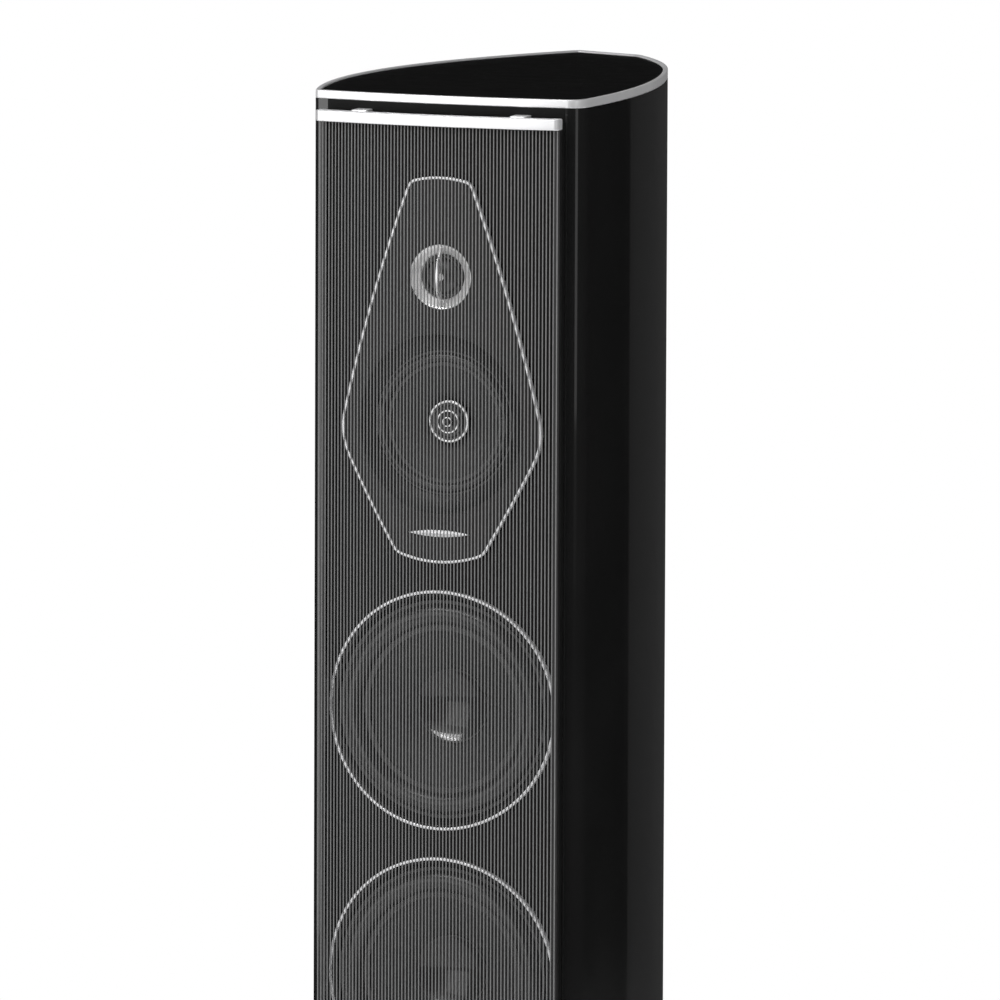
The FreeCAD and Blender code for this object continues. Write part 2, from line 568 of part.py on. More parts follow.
def build_midrange():
    z = MID_Z
    front = ARRAY_BACK + 0.7
    frame = basket(z, [(58.2, front), (76.5, front), (76.5, MID_FLANGE_BACK), (58.2, MID_FLANGE_BACK)],
                   ((60.6, -186.0), (44.0, -142.0), 2.4),
                   [(30.0, -142.0), (44.0, -142.0), (44.0, -138.0), (30.0, -138.0)], 6)
    shelf = turned([(38.2, -154.0), (49.6, -154.0), (48.8, -151.8), (38.2, -151.8)], z)
    frame = frame.fuse(shelf).removeSplitter()
    for x, dz in screw_ring(SCREW_R_MID, MID_SCREWS):
        frame = frame.cut(cyl_y(SCREW_CORE_R + 0.1, -200, -180, x, z + dz))
        frame = frame.cut(cyl_y(SCREW_HEAD_R + 0.2, -200, MID_SCREW_SEAT, x, z + dz))
    export_array("mid_basket", frame)
    roll = turned([(47.2, front), (50.4, front), ((54.2, front - 4.2), (58.0, front)), (60.0, front),
                   (60.0, front - 0.6), (58.5, front - 0.6), ((54.2, front - 4.8), (49.9, front - 0.6)),
                   (47.2, front - 0.6)], z)
    export_array("mid_surround", roll)
    cone = turned([(50.2, front + 0.1), ((31.0, -181.4), (17.2, -173.2)), (17.2, -150.2), (17.7, -150.2),
                   (17.7, -172.4), ((31.2, -180.6), (49.4, front + 0.9)), (50.2, front + 0.9)], z)
    winding = turned([(17.8, -146.6), (18.6, -146.6), (18.6, -136.4), (17.8, -136.4)], z)
    former = turned([(17.2, -150.1), (17.7, -150.1), (17.7, -136.4), (17.2, -136.4)], z)
    export_array("mid_cone", cone, winding, former)
    export_array("mid_spider", spider(z, 18.0, 38.6, -154.8))
    tip = (4.2, -183.6)
    plug = turned([(0, -186.0), (dome_middle(tip, -186.0), tip), (5.0, -182.4), (8.4, -183.2), (9.6, -181.2),
                   (12.6, -181.8), (13.8, -179.8), (16.8, -180.2), (17.4, -179.2), (17.0, -178.4), (14.4, -177.0),
                   (14.0, -160.0), (14.0, -148.2), (0, -148.2)], z)
    export_array("mid_phase_plug", plug)
    export_array("mid_motor", *motor(z, 16.6, 19.4, 38.0, 42.0, -138.0, 5.0, 15.0, 6.0, -148.0))


def motor(z, pole_r, gap_r, plate_r, magnet_r, y, plate_t, magnet_t, back_t, pole_front):
    """Top plate, ring magnet and back plate with its pole, behind the basket at y."""
    top = turned([(gap_r, y + 0.05), (plate_r, y + 0.05), (plate_r, y + plate_t), (gap_r, y + plate_t)], z)
    y1 = y + plate_t + 0.05
    magnet = turned([(gap_r + 6, y1), (magnet_r, y1), (magnet_r, y1 + magnet_t), (gap_r + 6, y1 + magnet_t)], z)
    y2 = y1 + magnet_t + 0.05
    back = turned([(0, pole_front), (pole_r, pole_front), (pole_r, y2), (plate_r, y2), (plate_r, y2 + back_t),
                   (0, y2 + back_t)], z)
    return top, magnet, back


WOOFER_FRONT = -193.5
CONE_EDGE_R = 70.0
ROLL_OUTER_R = 88.0
DUST_CAP_R = 31.0
CAP_DEPTH = 9.2
COIL_R = 19.5
CONE_BOW, CONE_NECK = (44.0, WOOFER_FRONT + 13.4), (COIL_R, WOOFER_FRONT + 32.0)


def build_woofers():
    baskets, motors, rings = [], [], []
    for name, z in WOOFER_Z.items():
        f = WOOFER_FRONT
        flange = [(84.0, f), (91.0, f), (96.5, f - 11), (96.5, POCKET_Y - 0.1), (84.0, POCKET_Y - 0.1)]
        frame = basket(z, flange, ((84.4, POCKET_Y - 3.0), (56.0, -128.0), 2.8),
                       [(34.0, -128.0), (56.0, -128.0), (56.0, -123.0), (34.0, -123.0)], 6)
        shelf = turned([(48.2, -146.0), (62.2, -146.0), (61.2, -143.4), (48.2, -143.4)], z)
        frame = frame.fuse(shelf).common(front_drum(TRIM_PROUD - 1.2)).removeSplitter()
        for x, dz in screw_ring(SCREW_R_WOOFER, WOOFER_SCREWS):
            frame = frame.cut(cyl_y(SCREW_CORE_R + 0.1, -220, POCKET_Y + 1, x, z + dz))
            frame = frame.cut(cyl_y(SCREW_HEAD_R + 0.2, -220, WOOFER_FRONT, x, z + dz))
        baskets.append(frame.Solids[0])
        motors += motor(z, 18.6, 21.4, 46.0, 52.0, -123.0, 6.0, 20.0, 8.0, -129.5)
        tube = cyl_y(TRIM_R, -215, POCKET_Y - 0.1, 0, z).cut(cyl_y(TRIM_R - TRIM_W, -216, POCKET_Y, 0, z))
        rings.append(tube.common(front_drum(TRIM_PROUD)).Solids[0])

        mid_r = (CONE_EDGE_R + ROLL_OUTER_R) / 2
        roll = turned([(65.4, f), (CONE_EDGE_R + 0.4, f), ((mid_r, f - 7.0), (ROLL_OUTER_R - 0.4, f)), (90.8, f),
                       (90.8, f - 0.8), (ROLL_OUTER_R + 0.2, f - 0.8), ((mid_r, f - 7.8), (CONE_EDGE_R - 0.2, f - 0.8)),
                       (65.4, f - 0.8)], z)
        export(f"{name}_woofer_surround", roll)
        cone = turned([(CONE_EDGE_R, f + 0.1), (CONE_BOW, CONE_NECK), (COIL_R, -146.4),
                       (COIL_R + 0.5, -146.4), (COIL_R + 0.5, CONE_NECK[1] + 0.9),
                       ((44.4, f + 14.5), (68.4, f + 1.2)), (CONE_EDGE_R, f + 1.2)], z)
        former = turned([(COIL_R, -146.3), (COIL_R + 0.5, -146.3), (COIL_R + 0.5, -118.0), (COIL_R, -118.0)], z)
        winding = turned([(COIL_R + 0.6, -134.0), (COIL_R + 1.4, -134.0), (COIL_R + 1.4, -118.0),
                          (COIL_R + 0.6, -118.0)], z)
        rim_y = cap_seat()
        lip, bottom = (DUST_CAP_R - 0.8, rim_y - 1.1), rim_y - 1.1 + CAP_DEPTH
        seat, under = (DUST_CAP_R - 1.1, rim_y - 0.1), rim_y - 0.3 + CAP_DEPTH
        cap = turned([(0, bottom), (bowl_middle(lip, bottom), lip), (DUST_CAP_R, rim_y - 1.1),
                      (DUST_CAP_R, rim_y - 0.1), seat, (bowl_middle(seat, under), (0, under))], z)
        export(f"{name}_woofer_cone", cone, cap, former, winding)
        export(f"{name}_woofer_spider", spider(z, COIL_R + 0.8, 48.6, -147.6, waves=6, depth=2.0, t=0.6))
    export("woofer_baskets", *baskets)
    export("woofer_motors", *motors)
    export("woofer_trim_rings", *rings)


def cap_seat():
    """Y of a woofer cone's front face under the edge of its dust cap."""
    edge, bow, neck = V(CONE_EDGE_R, WOOFER_FRONT + 0.1, 0), V(*CONE_BOW, 0), V(*CONE_NECK, 0)
    upright = Part.LineSegment(V(DUST_CAP_R, WOOFER_FRONT, 0), V(DUST_CAP_R, WOOFER_FRONT + 40, 0)).toShape()
    return Part.Arc(edge, bow, neck).toShape().distToShape(upright)[1][0][0].y


def build_screws():
    screws = [screw(WOOFER_FRONT, x, z + dz) for z in WOOFER_Z.values()
              for x, dz in screw_ring(SCREW_R_WOOFER, WOOFER_SCREWS)]
    screws += [forward(screw(MID_SCREW_SEAT, x, MID_Z + dz)) for x, dz in screw_ring(SCREW_R_MID, MID_SCREWS)]
    screws += [forward(screw(TWEETER_SCREW_SEAT, x, TWEETER_Z + dz))
               for x, dz in screw_ring(SCREW_R_TWEETER, TWEETER_SCREWS)]
    export("driver_screws", *screws)


# ================================================================ grille
def pin_places():
    zs = (BAR_TOP - PIN_Z_INSET, BOTTOM_BAR_Z + PIN_Z_INSET)
    return [(side * LUG_X, z) for z in zs for side in (-1, 1)]


def build_grille():
    outer, inner = BAR_GAP + BAR_D, BAR_GAP
    for name, z0 in (("grille_top_bar", BAR_TOP - BAR_H), ("grille_bottom_bar", BOTTOM_BAR_Z)):
        bar = curved_band(outer, inner, BAR_HALF, z0, z0 + BAR_H)
        upright = [e for e in bar.Edges if abs(e.Vertexes[0].Z - e.Vertexes[-1].Z) > BAR_H - 0.1
                   and e.CenterOfMass.y < front_y(BAR_HALF, (outer + inner) / 2)]
        bar = bar.makeFillet(4.0, upright)
        for side in (-1, 1):
            x = side * LUG_X
            y = front_y(x, inner)
            lug = box(x - LUG_HALF, x + LUG_HALF, y - 2, FRONT_Y + 4.6, z0 - 1.0, z0 + BAR_H + 1.0).cut(front_drum(1.2))
            tall = [e for e in lug.Edges if abs(e.Vertexes[0].Z - e.Vertexes[-1].Z) < 0.01
                    and abs(e.Vertexes[0].X - e.Vertexes[-1].X) < 0.01]
            lug = lug.makeFillet(3.0, tall).cut(front_drum_shell(inner, outer))
            bar = bar.fuse(lug)
        export(name, bar.removeSplitter())

    z0, z1 = BOTTOM_BAR_Z + BAR_H, BAR_TOP - BAR_H
    strings = []
    for i in range(STRINGS):
        angle = (i - (STRINGS - 1) / 2) * STRING_PITCH / FRONT_R
        radius = FRONT_R + (outer + inner) / 2 - 0.5
        strings.append(cyl_z(STRING_R, z0, z1, radius * math.sin(angle),
                             FRONT_Y + FRONT_R - radius * math.cos(angle)))
    export("grille_strings", *strings)

    frame = []
    for side in (-1, 1):
        x = side * (BAR_HALF - 4.4)
        y = front_y(x, inner)
        frame.append(box(x - 2.4, x + 2.4, y, y + 5.0, z0 - 4, z1 + 4).cut(front_drum_shell(inner - 0.02, outer)))
    for x, z in pin_places():
        frame.append(cyl_y(PIN_R, FRONT_Y + 4.65 + 0.0, FRONT_Y + 12.0, x, z))
    export("grille_frame", *frame)


def front_drum_shell(inner, outer):
    return front_drum(outer).cut(front_drum(inner))


# ================================================================ rear: vent and terminals
def build_rear():
    z0, z1 = VENT_Z
    frame = box(-20, 20, 0.05, 3.0, z0 - 12, z1 + 12)
    frame = frame.makeChamfer(1.4, [e for e in frame.Edges if e.CenterOfMass.y > 2.9])
    frame = frame.cut(box(-SLOT_W / 2 + 1, SLOT_W / 2 - 1, -5, 10, z0 + 1, z1 - 1))
    rebate = box(-SLOT_W / 2 - 2, SLOT_W / 2 + 2, 0, 1.4, z0 - 2, z1 + 2)
    export("vent_frame", on_rear(frame.cut(rebate)))
    mesh = box(-SLOT_W / 2 - 1.8, SLOT_W / 2 + 1.8, 0.1, 1.3, z0 - 1.8, z1 + 1.8)
    pitch = 7.0
    count = int((z1 - z0 - 6) / pitch)
    holes = [box(-5.5, 5.5, -1, 3, z0 + 4 + i * pitch, z0 + 4 + i * pitch + 4) for i in range(count)]
    export("vent_mesh", on_rear(mesh.cut(Part.makeCompound(holes))))
    build_terminals()


def terminal_screw_places():
    return [(x, TERMINAL_Z + dz) for x in (-15.5, 15.5) for dz in (-36, 36)]


def build_terminals():
    z = TERMINAL_Z
    plate = box(-PLATE_HALF, PLATE_HALF, 0.05, 3.05, z - PLATE_TALL, z + PLATE_TALL)
    plate = plate.makeFillet(5.0, [e for e in plate.Edges if abs(e.Vertexes[0].Y - e.Vertexes[-1].Y) > 1])
    plate = plate.makeChamfer(0.8, [e for e in plate.Edges if e.CenterOfMass.y > 3.0])
    posts = {"lower": z - POST_GAP / 2, "upper": z + POST_GAP / 2}
    for post_z in posts.values():
        plate = plate.cut(cyl_y(5.1, -5, 10, 0, post_z))
    for x, sz in terminal_screw_places():
        plate = plate.cut(cyl_y(1.8, -5, 10, x, sz))
    export("terminal_plate", in_bay(plate))

    studs = []
    for post_z in posts.values():
        bush = cyl_y(5.0, -3.0, 6.0, 0, post_z).fuse(cyl_y(7.5, 3.1, 6.0, 0, post_z))
        stud = cyl_y(POST_STUD_R, -12.0, POST_END, 0, post_z)
        nut = hexagon(6.0, 0, -5.0, post_z, "y").extrude(V(0, 4.9, 0))
        post = bush.fuse(stud).fuse(nut)
        post = post.cut(cyl_y(SOCKET_R, POST_END - SOCKET_L, POST_END + 1, 0, post_z))
        studs.append(in_bay(post.removeSplitter()))
    export("binding_posts", *studs)
    for name, post_z in posts.items():
        bore = cyl_y(POST_STUD_R + THREAD_GAP, 0, 60, 0, post_z)
        collar = cyl_y(7.2, 6.3, 8.3, 0, post_z).cut(bore)
        export(f"{name}_post_collar", in_bay(collar))
        nut = cyl_y(7.4, 8.6, 21.8, 0, post_z)
        nut = nut.makeChamfer(1.0, [e for e in nut.Edges if e.CenterOfMass.y > 21.7])
        for i in range(18):
            a = 2 * math.pi * i / 18
            nut = nut.cut(cyl_y(0.7, 10.0, 20.3, 7.6 * math.cos(a), post_z + 7.6 * math.sin(a)))
        export(f"{name}_post_nut", in_bay(nut.cut(bore)))

    screws = []
    for x, sz in terminal_screw_places():
        head = cyl_y(3.0, 3.1, 5.2, x, sz).fuse(cyl_y(1.15, -7.0, 3.1, x, sz))
        screws.append(in_bay(head.cut(cyl_y(1.4, 4.0, 6.0, x, sz))))
    export("terminal_screws", *screws)


def in_bay(shape):
    """Moves a shape drawn with the terminal bay's floor as Y = 0 into the bay."""
    sunk = shape.copy()
    sunk.translate(V(0, -TERMINAL_RECESS, 0))
    return on_rear(sunk)


# ================================================================ feet
BOLT_R = 3.0
BOLT_L = 12.0
SPIKE_TIP = 2.2  # height of the tip, in the shoe's dimple


def foot_places():
    front_x, y = FOOTPRINT_W / 2 - SHOE_R, FOOTPRINT_D / 2 - SHOE_R
    return {"front_left": (-front_x, -y), "front_right": (front_x, -y),
            "rear_left": (-REAR_FOOT_X, y), "rear_right": (REAR_FOOT_X, y)}


def arm_bolts():
    return [(-70, -160), (70, -160), (-45, 130), (45, 130)]


def arm(foot, root, root_half):
    """A tapered aluminium arm from under the cabinet out to a foot."""
    (fx, fy), (rx, ry) = foot, root
    length = math.hypot(fx - rx, fy - ry)
    tip_r = 15.0
    body = Part.makePolygon([V(0, -root_half, 0), V(length, -tip_r, 0), V(length, tip_r, 0),
                             V(0, root_half, 0), V(0, -root_half, 0)])
    solid = Part.Face(body).extrude(V(0, 0, ARM_H)).fuse(cyl_z(tip_r, 0, ARM_H, length, 0))
    solid = solid.fuse(cyl_z(root_half, 0, ARM_H, 0, 0)).removeSplitter()
    solid.rotate(V(0, 0, 0), V(0, 0, 1), math.degrees(math.atan2(fy - ry, fx - rx)))
    solid.translate(V(rx, ry, ARM_Z))
    return solid


def build_feet():
    places = foot_places()
    for end, roots, half in (("front", ((-70, -160), (70, -160)), 26.0), ("rear", ((-45, 130), (45, 130)), 24.0)):
        names = (f"{end}_left", f"{end}_right")
        pair = None
        for name, root in zip(names, roots):
            one = arm(places[name], root, half)
            pair = one if pair is None else pair.fuse(one)
        (x0, y0), (x1, _) = roots
        pair = pair.fuse(box(x0, x1, y0 - half, y0 + half, ARM_Z, ARM_Z + ARM_H)).removeSplitter()
        rim_edges = [e for e in pair.Edges if abs(e.BoundBox.ZMin - e.BoundBox.ZMax) < 0.01]
        pair = pair.makeChamfer(1.2, rim_edges)
        for name in names:
            pair = pair.cut(cyl_z(SPIKE_R + THREAD_GAP, 0, 80, *places[name]))
        for root in roots:
            pair = pair.cut(cyl_z(BOLT_R + 0.2, 0, 80, *root))
            pair = pair.cut(cyl_z(6.6, 0, ARM_Z + 6.0, *root))
        export(f"{end}_outrigger", pair)

    bolts = []
    for x, y in arm_bolts():
        head = cyl_z(6.0, ARM_Z + 0.5, ARM_Z + 6.0, x, y).fuse(cyl_z(BOLT_R - 0.05, ARM_Z + 6.0,
                                                                      CABINET_BASE + BOLT_L - 1, x, y))
        socket = hexagon(2.9, x, y, ARM_Z, "z").extrude(V(0, 0, 3.5))
        bolts.append(head.cut(socket))
    export("outrigger_bolts", *bolts)

    for name, (x, y) in places.items():
        tip = Part.makeCone(0.4, SPIKE_R, 14.0, V(x, y, SPIKE_TIP))
        stem = cyl_z(SPIKE_R, SPIKE_TIP + 14.0, 62.0, x, y)
        knob = cyl_z(KNOB_R, 60.0, 70.0, x, y)
        knob = knob.makeChamfer(1.2, [e for e in knob.Edges if e.Closed])
        for i in range(24):
            a = 2 * math.pi * i / 24
            knob = knob.cut(cyl_z(0.8, 61.5, 68.5, x + (KNOB_R + 0.3) * math.cos(a), y + (KNOB_R + 0.3) * math.sin(a)))
        export(f"spike_{name}", tip.fuse(stem).fuse(knob).removeSplitter())
        shoe = cyl_z(SHOE_R, 0, SHOE_H, x, y)
        shoe = shoe.makeChamfer(1.6, [e for e in shoe.Edges if e.Closed and e.CenterOfMass.z > SHOE_H - 0.1])
        dimple = Part.makeCone(0.42, SPIKE_R + 3.4, 12.0, V(x, y, SPIKE_TIP - 0.02))
        export(f"shoe_{name}", shoe.cut(dimple))


build_cabinet()
build_inside()
build_crossover()
build_wiring()
build_array()
build_tweeter()
build_midrange()
build_woofers()
build_screws()
build_grille()
build_rear()
build_feet()
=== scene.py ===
"""Studio scene of a floorstanding speaker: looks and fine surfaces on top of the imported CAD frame.

Metres, +Z up, the front faces -Y. The profiles of the drivers are in millimetres, and MM turns them
into metres.
"""

import json
import math

import bmesh
import bpy
import numpy as np
from mathutils import Matrix, Vector


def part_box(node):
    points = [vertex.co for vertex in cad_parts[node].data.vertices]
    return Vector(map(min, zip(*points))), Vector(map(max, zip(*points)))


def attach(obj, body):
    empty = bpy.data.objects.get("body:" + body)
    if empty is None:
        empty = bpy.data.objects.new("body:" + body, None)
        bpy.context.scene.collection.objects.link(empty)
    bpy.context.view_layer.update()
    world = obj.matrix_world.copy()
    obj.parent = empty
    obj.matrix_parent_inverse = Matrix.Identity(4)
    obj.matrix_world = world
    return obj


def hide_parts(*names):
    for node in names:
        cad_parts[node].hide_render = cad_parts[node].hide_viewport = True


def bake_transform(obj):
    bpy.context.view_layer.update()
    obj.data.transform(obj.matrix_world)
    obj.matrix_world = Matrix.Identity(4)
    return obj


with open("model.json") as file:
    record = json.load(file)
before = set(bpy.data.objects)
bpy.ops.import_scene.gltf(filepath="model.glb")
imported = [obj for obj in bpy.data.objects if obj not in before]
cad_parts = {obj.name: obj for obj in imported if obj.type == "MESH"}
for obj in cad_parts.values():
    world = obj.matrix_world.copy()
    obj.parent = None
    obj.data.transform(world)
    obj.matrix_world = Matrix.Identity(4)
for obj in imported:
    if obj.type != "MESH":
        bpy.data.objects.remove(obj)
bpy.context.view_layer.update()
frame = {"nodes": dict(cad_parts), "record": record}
NODES = frame["nodes"]
MM = 0.001


# ---------------------------------------------------------------- materials
NOISE_LOW, NOISE_HIGH = 0.3, 0.7  # nearly all of the noise lies between these


def surface(name, colour, roughness, metallic=0.0, ior=1.5, specular=0.5, coat=0.0, coat_roughness=0.1,
            sheen=0.0, anisotropy=0.0, tone=0.0, tone_scale=60.0, gloss_spread=0.0,
            grain="noise", grain_scale=(400, 400, 400), grain_depth=0.00002, grain_strength=0.3, edge=0.0):
    """A Principled material. Noise varies the tone and the gloss, and a grain pattern is its relief."""
    material = bpy.data.materials.new(name)
    material.use_nodes = True
    tree = material.node_tree
    shader = tree.nodes["Principled BSDF"]
    shader.inputs["Metallic"].default_value = metallic
    shader.inputs["IOR"].default_value = ior
    shader.inputs["Specular IOR Level"].default_value = specular
    shader.inputs["Coat Weight"].default_value = coat
    shader.inputs["Coat Roughness"].default_value = coat_roughness
    shader.inputs["Sheen Weight"].default_value = sheen
    shader.inputs["Anisotropic"].default_value = anisotropy

    place = tree.nodes.new("ShaderNodeTexCoord")
    cloud = tree.nodes.new("ShaderNodeTexNoise")
    cloud.inputs["Scale"].default_value = tone_scale
    cloud.inputs["Detail"].default_value = 4.0
    tree.links.new(place.outputs["Object"], cloud.inputs["Vector"])

    shade = tree.nodes.new("ShaderNodeMapRange")
    shade.inputs["From Min"].default_value = NOISE_LOW
    shade.inputs["From Max"].default_value = NOISE_HIGH
    shade.inputs["To Min"].default_value = 1.0 - tone
    shade.inputs["To Max"].default_value = 1.0 + tone
    tree.links.new(cloud.outputs["Fac"], shade.inputs["Value"])
    tint = tree.nodes.new("ShaderNodeVectorMath")
    tint.operation = "SCALE"
    tint.inputs[0].default_value = colour
    tree.links.new(shade.outputs["Result"], tint.inputs["Scale"])
    tree.links.new(tint.outputs["Vector"], shader.inputs["Base Color"])

    gloss = tree.nodes.new("ShaderNodeMapRange")
    gloss.inputs["From Min"].default_value = NOISE_LOW
    gloss.inputs["From Max"].default_value = NOISE_HIGH
    gloss.inputs["To Min"].default_value = roughness - gloss_spread
    gloss.inputs["To Max"].default_value = roughness + gloss_spread
    tree.links.new(cloud.outputs["Fac"], gloss.inputs["Value"])
    tree.links.new(gloss.outputs["Result"], shader.inputs["Roughness"])

    stretch = tree.nodes.new("ShaderNodeMapping")
    stretch.inputs["Scale"].default_value = grain_scale
    tree.links.new(place.outputs["Object"], stretch.inputs["Vector"])
    if grain == "cells":
        pattern = tree.nodes.new("ShaderNodeTexVoronoi")
        pattern.feature = "SMOOTH_F1"
        pattern.inputs["Scale"].default_value = 1.0
        pattern.inputs["Smoothness"].default_value = 0.4
        height = pattern.outputs["Distance"]
    elif grain == "waves":
        pattern = tree.nodes.new("ShaderNodeTexWave")
        pattern.inputs["Scale"].default_value = 1.0
        pattern.inputs["Distortion"].default_value = 1.5
        height = pattern.outputs["Fac"]
    elif grain == "rings":
        pattern = tree.nodes.new("ShaderNodeTexWave")
        pattern.wave_type = "RINGS"
        pattern.rings_direction = "Y"
        pattern.inputs["Scale"].default_value = 1.0
        pattern.inputs["Distortion"].default_value = 0.6
        height = pattern.outputs["Fac"]
    else:
        pattern = tree.nodes.new("ShaderNodeTexNoise")
        pattern.inputs["Scale"].default_value = 1.0
        pattern.inputs["Detail"].default_value = 3.0
        height = pattern.outputs["Fac"]
    tree.links.new(stretch.outputs["Vector"], pattern.inputs["Vector"])
    relief = tree.nodes.new("ShaderNodeBump")
    relief.inputs["Strength"].default_value = grain_strength
    relief.inputs["Distance"].default_value = grain_depth
    tree.links.new(height, relief.inputs["Height"])
    tree.links.new(relief.outputs["Normal"], shader.inputs["Normal"])
    if edge:
        rounding = tree.nodes.new("ShaderNodeBevel")
        rounding.samples = 4
        rounding.inputs["Radius"].default_value = edge
        tree.links.new(rounding.outputs["Normal"], relief.inputs["Normal"])
    return material


LOOKS = {
    "lacquered_wood": surface("lacquer", (0.0075, 0.0075, 0.0075), 0.16, coat=1.0, coat_roughness=0.04,
                              specular=0.35, tone=0.1, tone_scale=9, gloss_spread=0.03,
                              grain_scale=(120, 120, 120), grain_depth=0.00003, grain_strength=0.12),
    "leather_black": surface("leather", (0.0045, 0.0045, 0.0045), 0.55, specular=0.16, tone=0.18,
                             tone_scale=40, gloss_spread=0.07, grain="cells", grain_scale=(650, 650, 650),
                             grain_depth=0.00025, grain_strength=0.5),
    "bottom_wood": surface("matt board", (0.02, 0.02, 0.02), 0.7, tone=0.2, grain_scale=(60, 60, 900),
                           grain_depth=0.0001, edge=0.0008),
    "polished_aluminium": surface("brushed aluminium", (0.86, 0.86, 0.87), 0.36, metallic=0.65,
                                  anisotropy=0.3, tone=0.04, tone_scale=25, gloss_spread=0.04,
                                  grain_scale=(18, 18, 5200), grain_depth=0.000012, grain_strength=0.35,
                                  edge=0.0004),
    "felt": surface("felt", (0.33, 0.32, 0.30), 0.95, sheen=0.5, tone=0.25, tone_scale=90,
                    grain_scale=(700, 700, 700), grain_depth=0.0008, grain_strength=0.7, edge=0.002),
    "circuit": surface("board and windings", (0.07, 0.10, 0.08), 0.5, tone=0.3, tone_scale=140,
                       grain_scale=(300, 300, 2200), grain_depth=0.00015, edge=0.0005),
    "wire": surface("wire sleeve", (0.03, 0.03, 0.03), 0.45, tone=0.1, grain_scale=(500, 500, 500),
                    grain_depth=0.00005),
    "black_painted_metal": surface("satin black", (0.012, 0.012, 0.012), 0.42, specular=0.25,
                                   tone=0.08, gloss_spread=0.05, grain_scale=(1600, 1600, 1600),
                                   grain_depth=0.00003, grain_strength=0.4, edge=0.0004),
    "turned_aluminium": surface("turned aluminium", (0.90, 0.90, 0.90), 0.3, metallic=0.5,
                                anisotropy=0.2, tone=0.05, gloss_spread=0.04, grain="rings",
                                grain_scale=(900, 900, 900), grain_depth=0.00001, grain_strength=0.3,
                                edge=0.0002),
    "silk": surface("coated cloth", (0.03, 0.03, 0.03), 0.36, coat=0.3, coat_roughness=0.3, tone=0.15,
                    tone_scale=300, grain="cells", grain_scale=(2600, 2600, 2600), grain_depth=0.00006,
                    grain_strength=0.5),
    "rubber_surround": surface("soft rubber", (0.012, 0.012, 0.012), 0.28, specular=0.5, sheen=0.1,
                               tone=0.12, gloss_spread=0.06, grain_scale=(500, 500, 500),
                               grain_depth=0.00004, grain_strength=0.25),
    "black_steel": surface("blackened steel", (0.03, 0.03, 0.03), 0.36, metallic=0.6, tone=0.12,
                           gloss_spread=0.06, grain_scale=(1200, 1200, 1200), grain_depth=0.00002,
                           edge=0.0003),
    "magnet": surface("ferrite and steel", (0.12, 0.12, 0.12), 0.62, metallic=0.3, tone=0.2,
                      gloss_spread=0.06, grain_scale=(900, 900, 900), grain_depth=0.0001, edge=0.0008),
    "paper_cone": surface("pressed pulp", (0.022, 0.022, 0.022), 0.62, specular=0.35, tone=0.3,
                          tone_scale=260, gloss_spread=0.08, grain_scale=(520, 200, 520),
                          grain_depth=0.00022, grain_strength=0.5),
    "spider_cloth": surface("varnished cloth", (0.42, 0.34, 0.17), 0.75, sheen=0.2, tone=0.2,
                            tone_scale=200, grain="cells", grain_scale=(1500, 1500, 1500),
                            grain_depth=0.00015, grain_strength=0.6),
    "elastic_string": surface("elastic cord", (0.14, 0.14, 0.14), 0.38, specular=0.5, tone=0.12,
                              tone_scale=500, grain="waves", grain_scale=(500, 500, 900),
                              grain_depth=0.00006, grain_strength=0.5),
    "nickel_brass": surface("nickel plate", (0.72, 0.70, 0.66), 0.16, metallic=1.0, tone=0.04,
                            gloss_spread=0.04, grain_scale=(60, 60, 2600), grain_depth=0.00001,
                            edge=0.0003),
    "spike_steel": surface("polished steel", (0.75, 0.75, 0.76), 0.12, metallic=1.0, tone=0.03,
                           gloss_spread=0.03, grain_scale=(40, 40, 1800), grain_depth=0.00001,
                           edge=0.0004),
    "shoe_steel": surface("turned steel", (0.60, 0.60, 0.61), 0.28, metallic=1.0, anisotropy=0.4,
                          tone=0.05, gloss_spread=0.05, grain_scale=(80, 80, 2400), grain_depth=0.00001,
                          edge=0.0005),
}
DUST_CAP = surface("dust cap", (0.008, 0.008, 0.008), 0.4, specular=0.2, coat=0.6, coat_roughness=0.07,
                   tone=0.15, tone_scale=120, gloss_spread=0.03, grain_scale=(700, 700, 700),
                   grain_depth=0.00005, grain_strength=0.3)
# The phase plug is turned aluminium; its body is painted near black here: painted shade and painted dark
# reflection between its highlight rings.
PLUG_PAINTED_SHADE = surface("plug painted shade", (0.05, 0.05, 0.05), 0.3, metallic=0.8, tone=0.08,
                      grain="rings", grain_scale=(900, 900, 900), grain_depth=0.00001)
COIL = surface("copper winding", (0.62, 0.30, 0.16), 0.35, metallic=1.0, tone=0.08, grain="waves",
               grain_scale=(10, 1400, 10), grain_depth=0.00008, grain_strength=0.8)
SLOT_OF = {part["node"]: part["material_slot"] for part in frame["record"]["subparts"]}
for node, obj in NODES.items():
    obj.data.materials.clear()
    obj.data.materials.append(LOOKS[SLOT_OF[node]])


# ---------------------------------------------------------------- shapes
FRONT_R = 0.700  # the front bulges to this radius about a vertical axis
FRONT_Y = -0.200  # middle of the baffle's front face
SMOOTH_TURN = math.radians(20)
SIDE_SHARE = 0.4  # of a side's length that one rounded corner may take
AXIS_R = 0.02  # mm; the profile of a turned piece ends this far from its axis


def sag(x):
    """How far back the bowed front lies at x."""
    return FRONT_R - math.sqrt(FRONT_R ** 2 - x * x)


